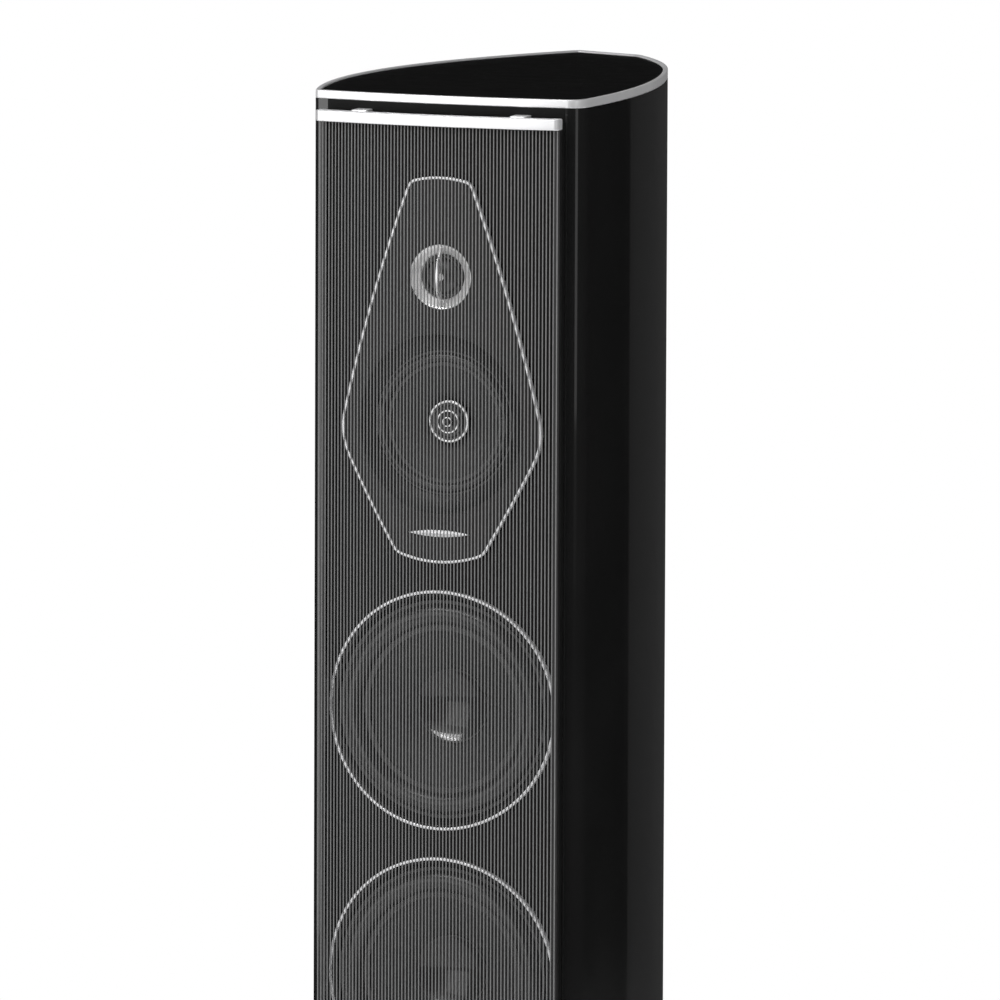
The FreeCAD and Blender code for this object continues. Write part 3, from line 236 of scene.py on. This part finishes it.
def arc(start, middle, end, steps):
    """Points on the circle through three points, without the start."""
    (ax, ay), (bx, by), (cx, cy) = start, middle, end
    d = 2 * (ax * (by - cy) + bx * (cy - ay) + cx * (ay - by))
    a2, b2, c2 = ax * ax + ay * ay, bx * bx + by * by, cx * cx + cy * cy
    ox = (a2 * (by - cy) + b2 * (cy - ay) + c2 * (ay - by)) / d
    oy = (a2 * (cx - bx) + b2 * (ax - cx) + c2 * (bx - ax)) / d
    radius = math.hypot(ax - ox, ay - oy)
    begin = math.atan2(ay - oy, ax - ox)
    via = (math.atan2(by - oy, bx - ox) - begin) % math.tau
    turn = (math.atan2(cy - oy, cx - ox) - begin) % math.tau
    if via > turn:
        turn -= math.tau
    angles = [begin + turn * i / steps for i in range(1, steps + 1)]
    return [(ox + radius * math.cos(a), oy + radius * math.sin(a)) for a in angles]


def circle(x, y, radius, count):
    """Points all round a circle."""
    angles = [math.tau * k / count for k in range(count)]
    return [(x + radius * math.cos(a), y + radius * math.sin(a)) for a in angles]


def bulge(start, end, height):
    """The middle of an arc from start to end that bulges to the left of the way by height."""
    dx, dy = end[0] - start[0], end[1] - start[1]
    length = math.hypot(dx, dy)
    return (start[0] + end[0]) / 2 - dy / length * height, (start[1] + end[1]) / 2 + dx / length * height


def walk(points, distance):
    """The point this far along a polyline, and the number of points passed."""
    for i in range(len(points) - 1):
        step = math.dist(points[i], points[i + 1])
        if distance <= step:
            share = distance / step
            return (points[i][0] + (points[i + 1][0] - points[i][0]) * share,
                    points[i][1] + (points[i + 1][1] - points[i][1]) * share), i + 1
        distance -= step
    return points[-1], len(points) - 1


def rounded_loop(sides, radii, steps=8):
    """A closed loop from sides (each a list of points, end to start), its corners rounded.

    radii[i] belongs to the corner at the end of side i.
    """
    trimmed, corners = [list(side) for side in sides], []
    for i, radius in enumerate(radii):
        before, after = trimmed[i], trimmed[(i + 1) % len(sides)]
        corner = before[-1]
        ax, ay = corner[0] - before[-2][0], corner[1] - before[-2][1]
        bx, by = after[1][0] - corner[0], after[1][1] - corner[1]
        turn = abs(math.atan2(ax * by - ay * bx, ax * bx + ay * by))
        reach = radius * math.tan(turn / 2)
        start, passed = walk(before[::-1], reach)
        before[-passed:] = [start]
        end, passed = walk(after, reach)
        after[:passed] = [end]
        corners.append((start, corner, end))
    loop = []
    for i, side in enumerate(trimmed):
        loop += side[:-1]
        start, corner, end = corners[i]
        ax, ay = corner[0] - start[0], corner[1] - start[1]
        bx, by = end[0] - corner[0], end[1] - corner[1]
        turn = abs(math.atan2(ax * by - ay * bx, ax * bx + ay * by))
        height = math.dist(start, end) / 2 * math.tan(turn / 4)
        leftward = (end[0] - start[0]) * ay > (end[1] - start[1]) * ax
        loop += [start] + arc(start, bulge(start, end, height if leftward else -height), end, steps)[:-1]
    return loop


def soften(points, radius, steps=3):
    """A closed section with its corners rounded to radius, or less where a side is short.

    A corner that turns by less than SMOOTH_TURN belongs to a curve and stays as it is.
    """
    count, out = len(points), []
    for i, here in enumerate(points):
        back, ahead = points[i - 1], points[(i + 1) % count]
        la, lb = math.dist(here, back), math.dist(here, ahead)
        ua = ((back[0] - here[0]) / la, (back[1] - here[1]) / la)
        ub = ((ahead[0] - here[0]) / lb, (ahead[1] - here[1]) / lb)
        turn = math.pi - math.acos(max(-1.0, min(1.0, ua[0] * ub[0] + ua[1] * ub[1])))
        if turn < SMOOTH_TURN:
            out.append(here)
            continue
        reach = min(radius * math.tan(turn / 2), SIDE_SHARE * la, SIDE_SHARE * lb)
        a = (here[0] + ua[0] * reach, here[1] + ua[1] * reach)
        b = (here[0] + ub[0] * reach, here[1] + ub[1] * reach)
        for k in range(steps + 1):
            t = k / steps
            out.append(((1 - t) ** 2 * a[0] + 2 * t * (1 - t) * here[0] + t * t * b[0],
                        (1 - t) ** 2 * a[1] + 2 * t * (1 - t) * here[1] + t * t * b[1]))
    return out


def make(name, points, faces, body, look, slot, nodes=(), origin=(0, 0, 0), sharp=40.0):
    """A mesh object on a body. points are in the frame's metres, and origin is where the object stands."""
    mesh = bpy.data.meshes.new(name)
    o = Vector(origin)
    mesh.from_pydata([Vector(p) - o for p in points], [], faces)
    shape = bmesh.new()
    shape.from_mesh(mesh)
    bmesh.ops.recalc_face_normals(shape, faces=shape.faces)
    shape.to_mesh(mesh)
    shape.free()
    mesh.shade_smooth()
    mesh.set_sharp_from_angle(angle=math.radians(sharp))
    mesh.materials.append(look)
    obj = bpy.data.objects.new(name, mesh)
    obj.location = o
    bpy.context.scene.collection.objects.link(obj)
    if body:
        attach(obj, body)
    if nodes:
        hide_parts(*nodes)
    return obj


def tube_faces(rows, columns, first=0):
    """Quads of a grid that closes on itself both ways."""
    return [(first + i * columns + j, first + i * columns + (j + 1) % columns,
             first + (i + 1) % rows * columns + (j + 1) % columns, first + (i + 1) % rows * columns + j)
            for i in range(rows) for j in range(columns)]


def sweep(path, section, place):
    """Points and faces of a section carried round a closed path. section holds (inset, height)."""
    count, points = len(path), []
    area = sum(path[i - 1][0] * path[i][1] - path[i][0] * path[i - 1][1] for i in range(count))
    side = 1 if area > 0 else -1
    for i in range(count):
        (ax, ay), (bx, by) = path[i - 1], path[(i + 1) % count]
        length = math.dist((ax, ay), (bx, by))
        nx, ny = -(by - ay) / length * side, (bx - ax) / length * side
        x, y = path[i]
        points += [place(x + nx * inset, y + ny * inset, height) for inset, height in section]
    return points, tube_faces(count, len(section))


def solid(path, low, high, edge, place, steps=3):
    """A flat solid with rounded edges: path is its outline, low and high its two faces."""
    rows = [(edge * (1 - math.sin(a)), low + edge * (1 - math.cos(a)))
            for a in [math.pi / 2 * i / steps for i in range(steps + 1)]]
    section = rows + [(inset, low + high - height) for inset, height in rows[::-1]]
    points, faces = sweep(path, section, place)
    columns, count = len(section), len(path)
    faces = [f for f in faces if not {f[0] % columns, f[1] % columns} == {0, columns - 1}]
    faces.append(tuple(i * columns for i in range(count)))
    faces.append(tuple(i * columns + columns - 1 for i in range(count)))
    return points, faces


def lathe(profile, z, steps=160, follow=False):
    """Points and faces of a closed (radius, y) profile turned about the driver axis at height z.

    With follow, the piece bends back with the bowed front.
    """
    points = []
    for i in range(steps):
        c, s = math.cos(math.tau * i / steps), math.sin(math.tau * i / steps)
        points += [(r * c, y + (sag(r * c) if follow else 0.0), z + r * s) for r, y in profile]
    return points, tube_faces(steps, len(profile))


def mm(points):
    """Points given in millimetres, in metres."""
    return [(x * MM, y * MM) for x, y in points]


def joined(*shapes):
    """Several shapes as one list of points and one of faces."""
    points, faces = [], []
    for some_points, some_faces in shapes:
        faces += [tuple(i + len(points) for i in face) for face in some_faces]
        points += some_points
    return points, faces


def cap_arc(edge, top, steps=14):
    """Profile points in mm from a dome's edge (radius, y) to its top beside the axis, without the edge."""
    rise = edge[1] - top
    radius = (edge[0] ** 2 + rise ** 2) / (2 * rise)
    half = math.asin(edge[0] / radius)
    angles = [half * (1 - i / steps) for i in range(1, steps + 1)]
    return [(max(radius * math.sin(a), AXIS_R), top + radius * (1 - math.cos(a))) for a in angles]


def bowl_arc(edge, bottom, steps=14):
    """The same as cap_arc for a bowl, whose bottom lies behind its edge."""
    return [(r, -y) for r, y in cap_arc((edge[0], -edge[1]), -bottom, steps)]


# ---------------------------------------------------------------- cabinet rims
FRONT_LEFT = (-0.116, FRONT_Y + sag(0.116))
FRONT_RIGHT = (0.118, FRONT_Y + sag(0.118))
LEFT_BULGE, LEFT_HIP, REAR_LEFT = (-0.1368, -0.050), (-0.110, 0.085), (-0.038, 0.220)
RIGHT_BULGE, RIGHT_HIP, REAR_RIGHT = (0.1205, -0.045), (0.088, 0.096), (0.025, 0.200)
CORNER_RADII = (0.016, 0.014, 0.005, 0.005)  # front right, rear right, rear left, front left
RIM_W = 0.004
RIM_EDGE = 0.0009


def tail(front, middle, hip, rear):
    """The middle of the arc that carries on smoothly from the side's first arc to the rear corner."""
    near = arc(front, middle, hip, 400)
    heading = math.atan2(near[-1][1] - near[-2][1], near[-1][0] - near[-2][0])
    way = math.atan2(rear[1] - hip[1], rear[0] - hip[0])
    turn = (way - heading + math.pi) % math.tau - math.pi
    return bulge(hip, rear, -math.dist(hip, rear) / 2 * math.tan(turn / 2))


def cabinet_loop():
    """The outline of the cabinet seen from above, with rounded corners."""
    front = [FRONT_LEFT] + arc(FRONT_LEFT, (0, FRONT_Y), FRONT_RIGHT, 80)
    right = [FRONT_RIGHT] + arc(FRONT_RIGHT, RIGHT_BULGE, RIGHT_HIP, 90)
    right += arc(RIGHT_HIP, tail(FRONT_RIGHT, RIGHT_BULGE, RIGHT_HIP, REAR_RIGHT), REAR_RIGHT, 50)
    rear = [REAR_RIGHT, REAR_LEFT]
    left = [FRONT_LEFT] + arc(FRONT_LEFT, LEFT_BULGE, LEFT_HIP, 90)
    left += arc(LEFT_HIP, tail(FRONT_LEFT, LEFT_BULGE, LEFT_HIP, REAR_LEFT), REAR_LEFT, 50)
    return rounded_loop([front, right, rear, left[::-1]], CORNER_RADII, 10)


def upright(x, y, height):
    """The place of a path's point for a path that lies flat."""
    return x, y, height


rims_low, rims_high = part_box("cabinet_rims")
rim_h = rims_high.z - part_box("side_wall_left")[1].z
CABINET = cabinet_loop()
rim_shapes = []
for bottom in (rims_high.z - rim_h, rims_low.z):
    square = [(0, bottom), (RIM_W, bottom), (RIM_W, bottom + rim_h), (0, bottom + rim_h)]
    rim_shapes.append(sweep(CABINET, soften(square, RIM_EDGE), upright))
make("rims", *joined(*rim_shapes), "cabinet", LOOKS["polished_aluminium"], "polished_aluminium",
     ["cabinet_rims"])

# ---------------------------------------------------------------- grille
BAR_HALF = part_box("grille_top_bar")[1].x
BAR_GAP, BAR_D = 0.013, 0.010  # the bar's distance from the baffle, and its depth
BAR_CORNER, BAR_BACK_CORNER, BAR_EDGE = 0.004, 0.0004, 0.0008
LUG_X, LUG_HALF, LUG_ROUND = 0.0696, 0.0068, 0.0018
LUG_STEP = 0.001  # a lug is this much taller than its bar, above and below
LUG_BACK, LUG_LAP = 0.0046, 0.002  # its end behind FRONT_Y, and how far it runs into the bar
STRINGS, STRING_PITCH, STRING_R = 71, 0.00292, 0.00053
STRING_SIDES, STRING_END = 14, 0.0001
STRING_BACK = 0.0005  # the strings stand this far behind the middle of the bar


def bar_loop():
    """The outline of a grille bar seen from above."""
    def at(x, proud):
        return x, FRONT_Y + sag(x) - proud
    outer_l, outer_r = at(-BAR_HALF, BAR_GAP + BAR_D), at(BAR_HALF, BAR_GAP + BAR_D)
    inner_l, inner_r = at(-BAR_HALF, BAR_GAP), at(BAR_HALF, BAR_GAP)
    outer = [outer_l] + arc(outer_l, at(0, BAR_GAP + BAR_D), outer_r, 60)
    inner = [inner_r] + arc(inner_r, at(0, BAR_GAP), inner_l, 60)
    return rounded_loop([outer, [outer_r, inner_r], inner, [inner_l, outer_l]],
                        (BAR_CORNER, BAR_BACK_CORNER, BAR_BACK_CORNER, BAR_CORNER), 8)


def lug_loop(x):
    """The outline of a lug seen from above."""
    near, far = FRONT_Y + LUG_BACK, FRONT_Y + sag(x) - BAR_GAP - LUG_LAP
    corners = [(x - LUG_HALF, near), (x - LUG_HALF, far), (x + LUG_HALF, far), (x + LUG_HALF, near)]
    return soften(corners, LUG_ROUND, 6)


for name in ("grille_top_bar", "grille_bottom_bar"):
    low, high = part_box(name)
    z0, z1 = low.z + LUG_STEP, high.z - LUG_STEP
    bar = solid(bar_loop(), z0, z1, BAR_EDGE, upright)
    lugs = [solid(lug_loop(side * LUG_X), low.z, high.z, BAR_EDGE, upright) for side in (-1, 1)]
    make(name + "_fine", *joined(bar, *lugs), "grille", LOOKS["polished_aluminium"],
         "polished_aluminium", [name])

string_low, string_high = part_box("grille_strings")
string_shapes = []
string_reach = FRONT_R + BAR_GAP + BAR_D / 2 - STRING_BACK
for i in range(STRINGS):
    swing = (i - (STRINGS - 1) / 2) * STRING_PITCH / FRONT_R
    x, y = string_reach * math.sin(swing), FRONT_Y + FRONT_R - string_reach * math.cos(swing)
    ring = circle(x, y, STRING_R, STRING_SIDES)
    string_shapes.append(solid(ring, string_low.z, string_high.z, STRING_END, upright, 1))
make("strings", *joined(*string_shapes), "grille", LOOKS["elastic_string"], "elastic_string",
     ["grille_strings"])

# ---------------------------------------------------------------- plate of the tweeter and midrange
SHOULDER, WAIST, CHIN = (0.0265, 1.032), (0.0898, 0.8205), (0.038, 0.7255)
UPPER_BULGE, LOWER_BULGE = 0.004, 0.0013
PLATE_TOP, PLATE_BOTTOM = 1.036, 0.7183
ARRAY_RADII = (0.009, 0.055, 0.012, 0.012, 0.055, 0.009)
BEAD, BEAD_PROUD, BEAD_BACK, BEAD_ROUND = 0.0012, 0.0029, 0.001, 0.0008
ARRAY_FORWARD = 0.003  # the plate with its drivers stands this far in front of the baffle's own curve


def array_loop():
    """The outline of the plate seen from the front."""
    def mirror(point):
        return -point[0], point[1]
    upper, lower = bulge(SHOULDER, WAIST, UPPER_BULGE), bulge(WAIST, CHIN, LOWER_BULGE)
    sides = [[mirror(SHOULDER)] + arc(mirror(SHOULDER), (0, PLATE_TOP), SHOULDER, 24),
             [SHOULDER] + arc(SHOULDER, upper, WAIST, 60),
             [WAIST] + arc(WAIST, lower, CHIN, 40),
             [CHIN] + arc(CHIN, (0, PLATE_BOTTOM), mirror(CHIN), 24),
             [mirror(CHIN)] + arc(mirror(CHIN), mirror(lower), mirror(WAIST), 40),
             [mirror(WAIST)] + arc(mirror(WAIST), mirror(upper), mirror(SHOULDER), 60)]
    return rounded_loop(sides, ARRAY_RADII, 10)


def on_front(x, z, height):
    """The place of a path's point for a path on the plate's bowed seat. height is towards the front."""
    return x, FRONT_Y - ARRAY_FORWARD + sag(x) - height, z


bead_corners = [(-BEAD, -BEAD_BACK), (BEAD, -BEAD_BACK), (BEAD, BEAD_PROUD), (-BEAD, BEAD_PROUD)]
bead_section = soften(bead_corners, BEAD_ROUND, 4)
make("array_edge", *sweep(array_loop(), bead_section, on_front), "cabinet", LOOKS["polished_aluminium"],
     "polished_aluminium", ["array_trim"])

BADGE_PROUD, BADGE_BASE, BADGE_EDGE = 0.0033, 0.00202, 0.0004
badge_low, badge_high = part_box("badge_plate")
badge_half, badge_mid = badge_high.x, (badge_low.z + badge_high.z) / 2
badge_tall = (badge_high.z - badge_low.z) / 2
lens = [(-badge_half, badge_mid)]
lens += arc(lens[0], (0, badge_mid + badge_tall), (badge_half, badge_mid), 30)
lens += arc((badge_half, badge_mid), (0, badge_mid - badge_tall), (-badge_half, badge_mid), 30)[:-1]
make("badge", *solid(lens, BADGE_BASE, BADGE_PROUD, BADGE_EDGE, on_front), "cabinet",
     LOOKS["polished_aluminium"], "polished_aluminium", ["badge_plate"])


# ---------------------------------------------------------------- drivers
def turned_piece(name, profile, z, look, slot, body, nodes=(), edge=0.15, steps=160):
    """A piece turned about the driver axis at height z. profile and edge, its corner radius, are in mm."""
    section = mm(soften(profile, edge)) if edge else mm(profile)
    return make(name, *lathe(section, z, steps), body, look, slot, nodes, (0, 0, z))


def hung(name, profile, z, look, slot, node):
    """A turned surround or spider, its profile in mm, which in the speaker hangs between the frame and a
    moving cone; here it stays on no body and is baked in place.
    """
    obj = make(name, *lathe(mm(profile), z), None, look, slot, [node])
    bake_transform(obj)
    return obj


def wavy(r0, r1, y, waves, depth, thickness, steps=8):
    """Profile of a corrugated disc between two radii, its relief faded out at both edges."""
    top = []
    for i in range(waves * steps + 1):
        share = i / (waves * steps)
        fade = min(1.0, 4 * share, 4 * (1 - share))
        top.append((r0 + (r1 - r0) * share, y - depth * fade * math.sin(math.tau * waves * share)))
    return top + [(r, v + thickness) for r, v in top[::-1]]


def shifted(profile, by):
    """A profile moved along y."""
    return [(r, y + by) for r, y in profile]


def middle_z(node):
    """The height of a node's middle."""
    low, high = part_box(node)
    return (low.z + high.z) / 2


# Tweeter. The profiles of tweeter and midrange are (radius, y) in mm and hold for a plate that isn't moved
# forward, and a shift carries them to where the CAD pieces stand.
DOME_TOP = -201.0
tweeter_z = middle_z("tweeter_dome")
tweeter_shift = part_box("tweeter_dome")[0].y / MM - DOME_TOP
tweeter_ring = [(18.4, -194.0), (18.4, -186.0), (41.5, -186.0), (41.5, -189.85), (27.0, -189.85),
                (27.0, -200.6), (26.2, -200.9), (24.0, -199.6), (22.0, -197.4), (20.3, -196.0),
                (18.9, -195.0)]
turned_piece("tweeter_ring", shifted(tweeter_ring, tweeter_shift), tweeter_z, LOOKS["turned_aluminium"],
             "turned_aluminium", "cabinet", ["tweeter_faceplate"])
dome = [(14.0, -195.6)] + cap_arc((14.0, -195.6), DOME_TOP) + cap_arc((13.6, -195.4), -200.6)[::-1]
dome += [(13.6, -195.4), (13.6, -186.6), (14.0, -186.6)]
turned_piece("dome", shifted(dome, tweeter_shift), tweeter_z, LOOKS["silk"], "silk", "tweeter_dome",
             ["tweeter_dome"], edge=0)
small_roll = [(14.1, -195.5)] + arc((14.1, -195.5), (16.0, -197.3), (18.0, -195.5), 12)
small_roll += [(18.3, -195.5), (18.3, -195.1), (17.7, -195.1)]
small_roll += arc((17.7, -195.1), (16.0, -196.8), (14.5, -195.1), 12) + [(14.1, -195.1)]
hung("tweeter_roll", shifted(small_roll, tweeter_shift), tweeter_z, LOOKS["rubber_surround"],
     "rubber_surround", "tweeter_surround")

# midrange
MID_ROLL_TOP = -194.1
# bright rings on the phase plug: painted highlights of its polished steps
PLUG_HIGHLIGHT_RINGS = ((16.5, -180.1, 1.0), (9.0, -182.4, 0.8), (3.6, -184.1, 0.7))  # radius, y and half width
mid_z = middle_z("mid_cone")
mid_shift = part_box("mid_surround")[0].y / MM - MID_ROLL_TOP
mid_roll = [(47.2, -189.3), (50.4, -189.3)] + arc((50.4, -189.3), (54.2, -193.5), (58.0, -189.3), 14)
mid_roll += [(60.0, -189.3), (60.0, -189.9), (58.5, -189.9)]
mid_roll += arc((58.5, -189.9), (54.2, MID_ROLL_TOP), (49.9, -189.9), 14) + [(47.2, -189.9)]
hung("mid_roll", shifted(mid_roll, mid_shift), mid_z, LOOKS["rubber_surround"], "rubber_surround",
     "mid_surround")
mid_cone = [(50.2, -189.2)] + arc((50.2, -189.2), (31.0, -181.4), (17.2, -173.2), 24)
mid_cone += [(17.2, -150.2), (17.7, -150.2), (17.7, -172.4)]
mid_cone += arc((17.7, -172.4), (31.2, -180.6), (49.4, -188.4), 24) + [(50.2, -188.4)]
turned_piece("mid_pulp", shifted(mid_cone, mid_shift), mid_z, LOOKS["paper_cone"], "paper_cone",
             "mid_cone", ["mid_cone"], edge=0, steps=220)
mid_coil = [(17.2, -150.1), (17.2, -136.4), (18.6, -136.4), (18.6, -146.6), (17.7, -146.6), (17.7, -150.1)]
turned_piece("mid_coil", shifted(mid_coil, mid_shift), mid_z, COIL, "paper_cone", "mid_cone")
hung("mid_spider_fine", shifted(wavy(18.0, 38.6, -154.8, 5, 1.5, 0.5), mid_shift), mid_z,
     LOOKS["spider_cloth"], "spider_cloth", "mid_spider")
plug = cap_arc((4.2, -183.6), -186.0, 6)[::-1]
plug += [(4.2, -183.6), (5.0, -182.4), (8.4, -183.2), (9.6, -181.2), (12.6, -181.8), (13.8, -179.8),
         (16.8, -180.2), (17.4, -179.2), (17.0, -178.4), (14.4, -177.0), (14.0, -160.0), (14.0, -148.2),
         (AXIS_R, -148.2)]
turned_piece("plug", shifted(plug, mid_shift), mid_z, PLUG_PAINTED_SHADE, "turned_aluminium", "cabinet",
             ["mid_phase_plug"], edge=0.35)
# the plug body carries painted shade, and these bright aluminium rings on it are painted highlights
for number, (r, y, half) in enumerate(PLUG_HIGHLIGHT_RINGS):
    crest = [(r - half, y + half), (r - half, y - half), (r + half, y - half), (r + half, y + half)]
    turned_piece(f"plug_highlight_ring_{number}", shifted(crest, mid_shift), mid_z, LOOKS["turned_aluminium"],
                 "turned_aluminium", "cabinet", edge=half * 0.9)

# woofers, in mm: y is counted from f, the flat back of the surround
TRIM_R, TRIM_W, TRIM_PROUD, TRIM_BACK, TRIM_ROUND = 99.8, 2.6, 4.0, 3.0, 0.8
ROLL_TOP = 7.8
CAP_R, CAP_EDGE, CAP_DEPTH = 31.0, 1.1, 9.2
NECK_R, SLEEVE_R, COIL_R = 19.5, 20.0, 20.9


def woofer_trim():
    """Profile of the bright ring round a woofer."""
    front, back = FRONT_Y / MM - TRIM_PROUD, FRONT_Y / MM + TRIM_BACK
    corners = [(TRIM_R, front), (TRIM_R - TRIM_W, front), (TRIM_R - TRIM_W, back), (TRIM_R, back)]
    return soften(corners, TRIM_ROUND, 5)


def woofer_roll(f):
    """Profile of the surround: a half roll between its two flanges."""
    roll = [(65.4, f), (70.4, f)] + arc((70.4, f), (79.0, f - 7.0), (87.6, f), 22)
    roll += [(90.8, f), (90.8, f - 0.8), (88.2, f - 0.8)]
    roll += arc((88.2, f - 0.8), (79.0, f - ROLL_TOP), (69.8, f - 0.8), 22)
    return roll + [(65.4, f - 0.8)]


def cone_front(f, steps):
    """The curved face of the cone, from its edge to its neck."""
    return arc((70.0, f + 0.1), (44.0, f + 13.4), (NECK_R, f + 32.0), steps)


def woofer_cone(f):
    """Profile of the cone with the sleeve that carries its coil."""
    cone = [(70.0, f + 0.1)] + cone_front(f, 36)
    cone += [(NECK_R, f + 47.1), (SLEEVE_R, f + 47.1), (SLEEVE_R, f + 32.0 + 0.9)]
    return cone + arc((SLEEVE_R, f + 32.0 + 0.9), (44.4, f + 14.5), (68.4, f + 1.2), 36) + [(70.0, f + 1.2)]


def woofer_cap(f):
    """Profile of the dished dust cap, seated on the cone."""
    seat = min(cone_front(f, 400), key=lambda point: abs(point[0] - CAP_R))[1]
    cap = [(30.2, seat - CAP_EDGE)] + bowl_arc((30.2, seat - CAP_EDGE), seat + CAP_DEPTH - CAP_EDGE, 20)
    cap += bowl_arc((29.9, seat - 0.1), seat + 8.9, 20)[::-1]
    return cap + [(29.9, seat - 0.1), (CAP_R, seat - 0.1), (CAP_R, seat - CAP_EDGE)]


def woofer_coil(f):
    """Profile of the coil's former with its winding."""
    return [(NECK_R, f + 47.2), (NECK_R, f + 75.5), (COIL_R, f + 75.5), (COIL_R, f + 59.5),
            (SLEEVE_R, f + 59.5), (SLEEVE_R, f + 47.2)]


trims, dust_caps = [], []
for side in ("upper", "lower"):
    z = middle_z(f"{side}_woofer_surround")
    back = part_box(f"{side}_woofer_surround")[0].y / MM + ROLL_TOP
    cone_body = f"{side}_woofer_cone"
    trims.append(lathe(mm(woofer_trim()), z, 240, True))
    hung(f"{side}_roll", woofer_roll(back), z, LOOKS["rubber_surround"], "rubber_surround",
         f"{side}_woofer_surround")
    turned_piece(f"{side}_pulp", woofer_cone(back), z, LOOKS["paper_cone"], "paper_cone", cone_body,
                 [f"{side}_woofer_cone"], edge=0, steps=240)
    dust_caps.append(turned_piece(f"{side}_cap", woofer_cap(back), z, DUST_CAP, "paper_cone", cone_body,
                                  edge=0))
    turned_piece(f"{side}_coil", woofer_coil(back), z, COIL, "paper_cone", cone_body)
    hung(f"{side}_spider_fine", wavy(20.3, 48.6, back + 45.9, 6, 1.9, 0.6), z, LOOKS["spider_cloth"],
         "spider_cloth", f"{side}_woofer_spider")
make("trim_rings", *joined(*trims), "cabinet", LOOKS["polished_aluminium"], "polished_aluminium",
     ["woofer_trim_rings"])

# ---------------------------------------------------------------- floor, light and camera
FLOOR_R, FLOOR_Z, FLOOR_SIDES = 1.7, -0.0005, 96
floor_mesh = bpy.data.meshes.new("floor")
floor_rim = [(x, y, FLOOR_Z) for x, y in circle(0, 0, FLOOR_R, FLOOR_SIDES)]
floor_mesh.from_pydata(floor_rim, [], [tuple(range(FLOOR_SIDES))])
floor_mesh.materials.append(surface("pale floor", (0.80, 0.80, 0.80), 0.6, tone=0.01,
                                    grain_strength=0.05))
floor = bpy.data.objects.new("floor", floor_mesh)
bpy.context.scene.collection.objects.link(floor)


def softbox(name, azimuth, distance, height, width, tall, glow, aim=(0, 0, 0.75)):
    """A rectangular light that the camera doesn't see. azimuth is in degrees from the front to the right.

    glow is its brightness, whatever its size.
    """
    light = bpy.data.lights.new(name, "AREA")
    light.shape = "RECTANGLE"
    light.size, light.size_y = width, tall
    light.energy = glow * math.pi * width * tall
    obj = bpy.data.objects.new(name, light)
    bpy.context.scene.collection.objects.link(obj)
    turn = math.radians(azimuth)
    obj.location = (distance * math.sin(turn), -distance * math.cos(turn), height)
    obj.rotation_mode = "QUATERNION"
    obj.rotation_quaternion = (Vector(aim) - obj.location).to_track_quat("-Z", "Y")
    obj.visible_camera = False
    return obj


LAMPS = (  # name, azimuth, distance, height, width, tall, glow
    ("front left", -24, 3.2, 1.0, 2.4, 2.2, 2.1),
    ("front right", 52, 3.4, 1.5, 0.9, 2.2, 0.6),
    ("behind", 186, 3.4, 1.0, 3.2, 2.8, 0.03),
    ("back left", -125, 3.4, 1.3, 1.2, 2.2, 0.5),
    ("overhead", 0, 1.0, 3.3, 2.2, 1.6, 0.9),
    ("high strip", -18, 1.9, 2.55, 1.5, 0.14, 30.0),
)
for lamp in LAMPS:
    softbox(*lamp)

# a wide strip above the front that lights only the two dust caps
glint = softbox("dust cap strip", -8, 1.9, 2.5, 2.8, 0.5, 20.0)
caps = bpy.data.collections.new("dust caps")
for cap_piece in dust_caps:
    caps.objects.link(cap_piece)
glint.light_linking.receiver_collection = caps

# a white world that shows to the camera and fills the shadows, and is kept out of reflections
world = bpy.data.worlds.new("white studio")
bpy.context.scene.world = world
world.use_nodes = True
world.node_tree.nodes["Background"].inputs["Color"].default_value = (1, 1, 1, 1)
world.node_tree.nodes["Background"].inputs["Strength"].default_value = 1.0
world.cycles_visibility.glossy = False
bpy.context.scene.view_settings.view_transform = "Standard"

AZIMUTH, ELEVATION, ROLL = math.radians(20.77), math.radians(7.17), math.radians(0.22)
DISTANCE = 12.0
SENSOR_W = 36.0
LENS = 14.61947 * SENSOR_W  # a long lens, so that the picture spans about 0.82 m at the target
TARGET = Vector((0.0546, -0.208, 0.7727))
camera = bpy.data.objects.new("camera", bpy.data.cameras.new("camera"))
bpy.context.scene.collection.objects.link(camera)
away = Vector((math.sin(AZIMUTH) * math.cos(ELEVATION), -math.cos(AZIMUTH) * math.cos(ELEVATION),
               math.sin(ELEVATION)))
camera.data.sensor_width = SENSOR_W
camera.data.lens = LENS
camera.data.clip_end = 100
camera.location = TARGET + away * DISTANCE
camera.rotation_mode = "QUATERNION"
camera.rotation_quaternion = ((-away).to_track_quat("-Z", "Y")
                              @ Matrix.Rotation(ROLL, 3, "Z").to_quaternion())
bpy.context.scene.camera = camera
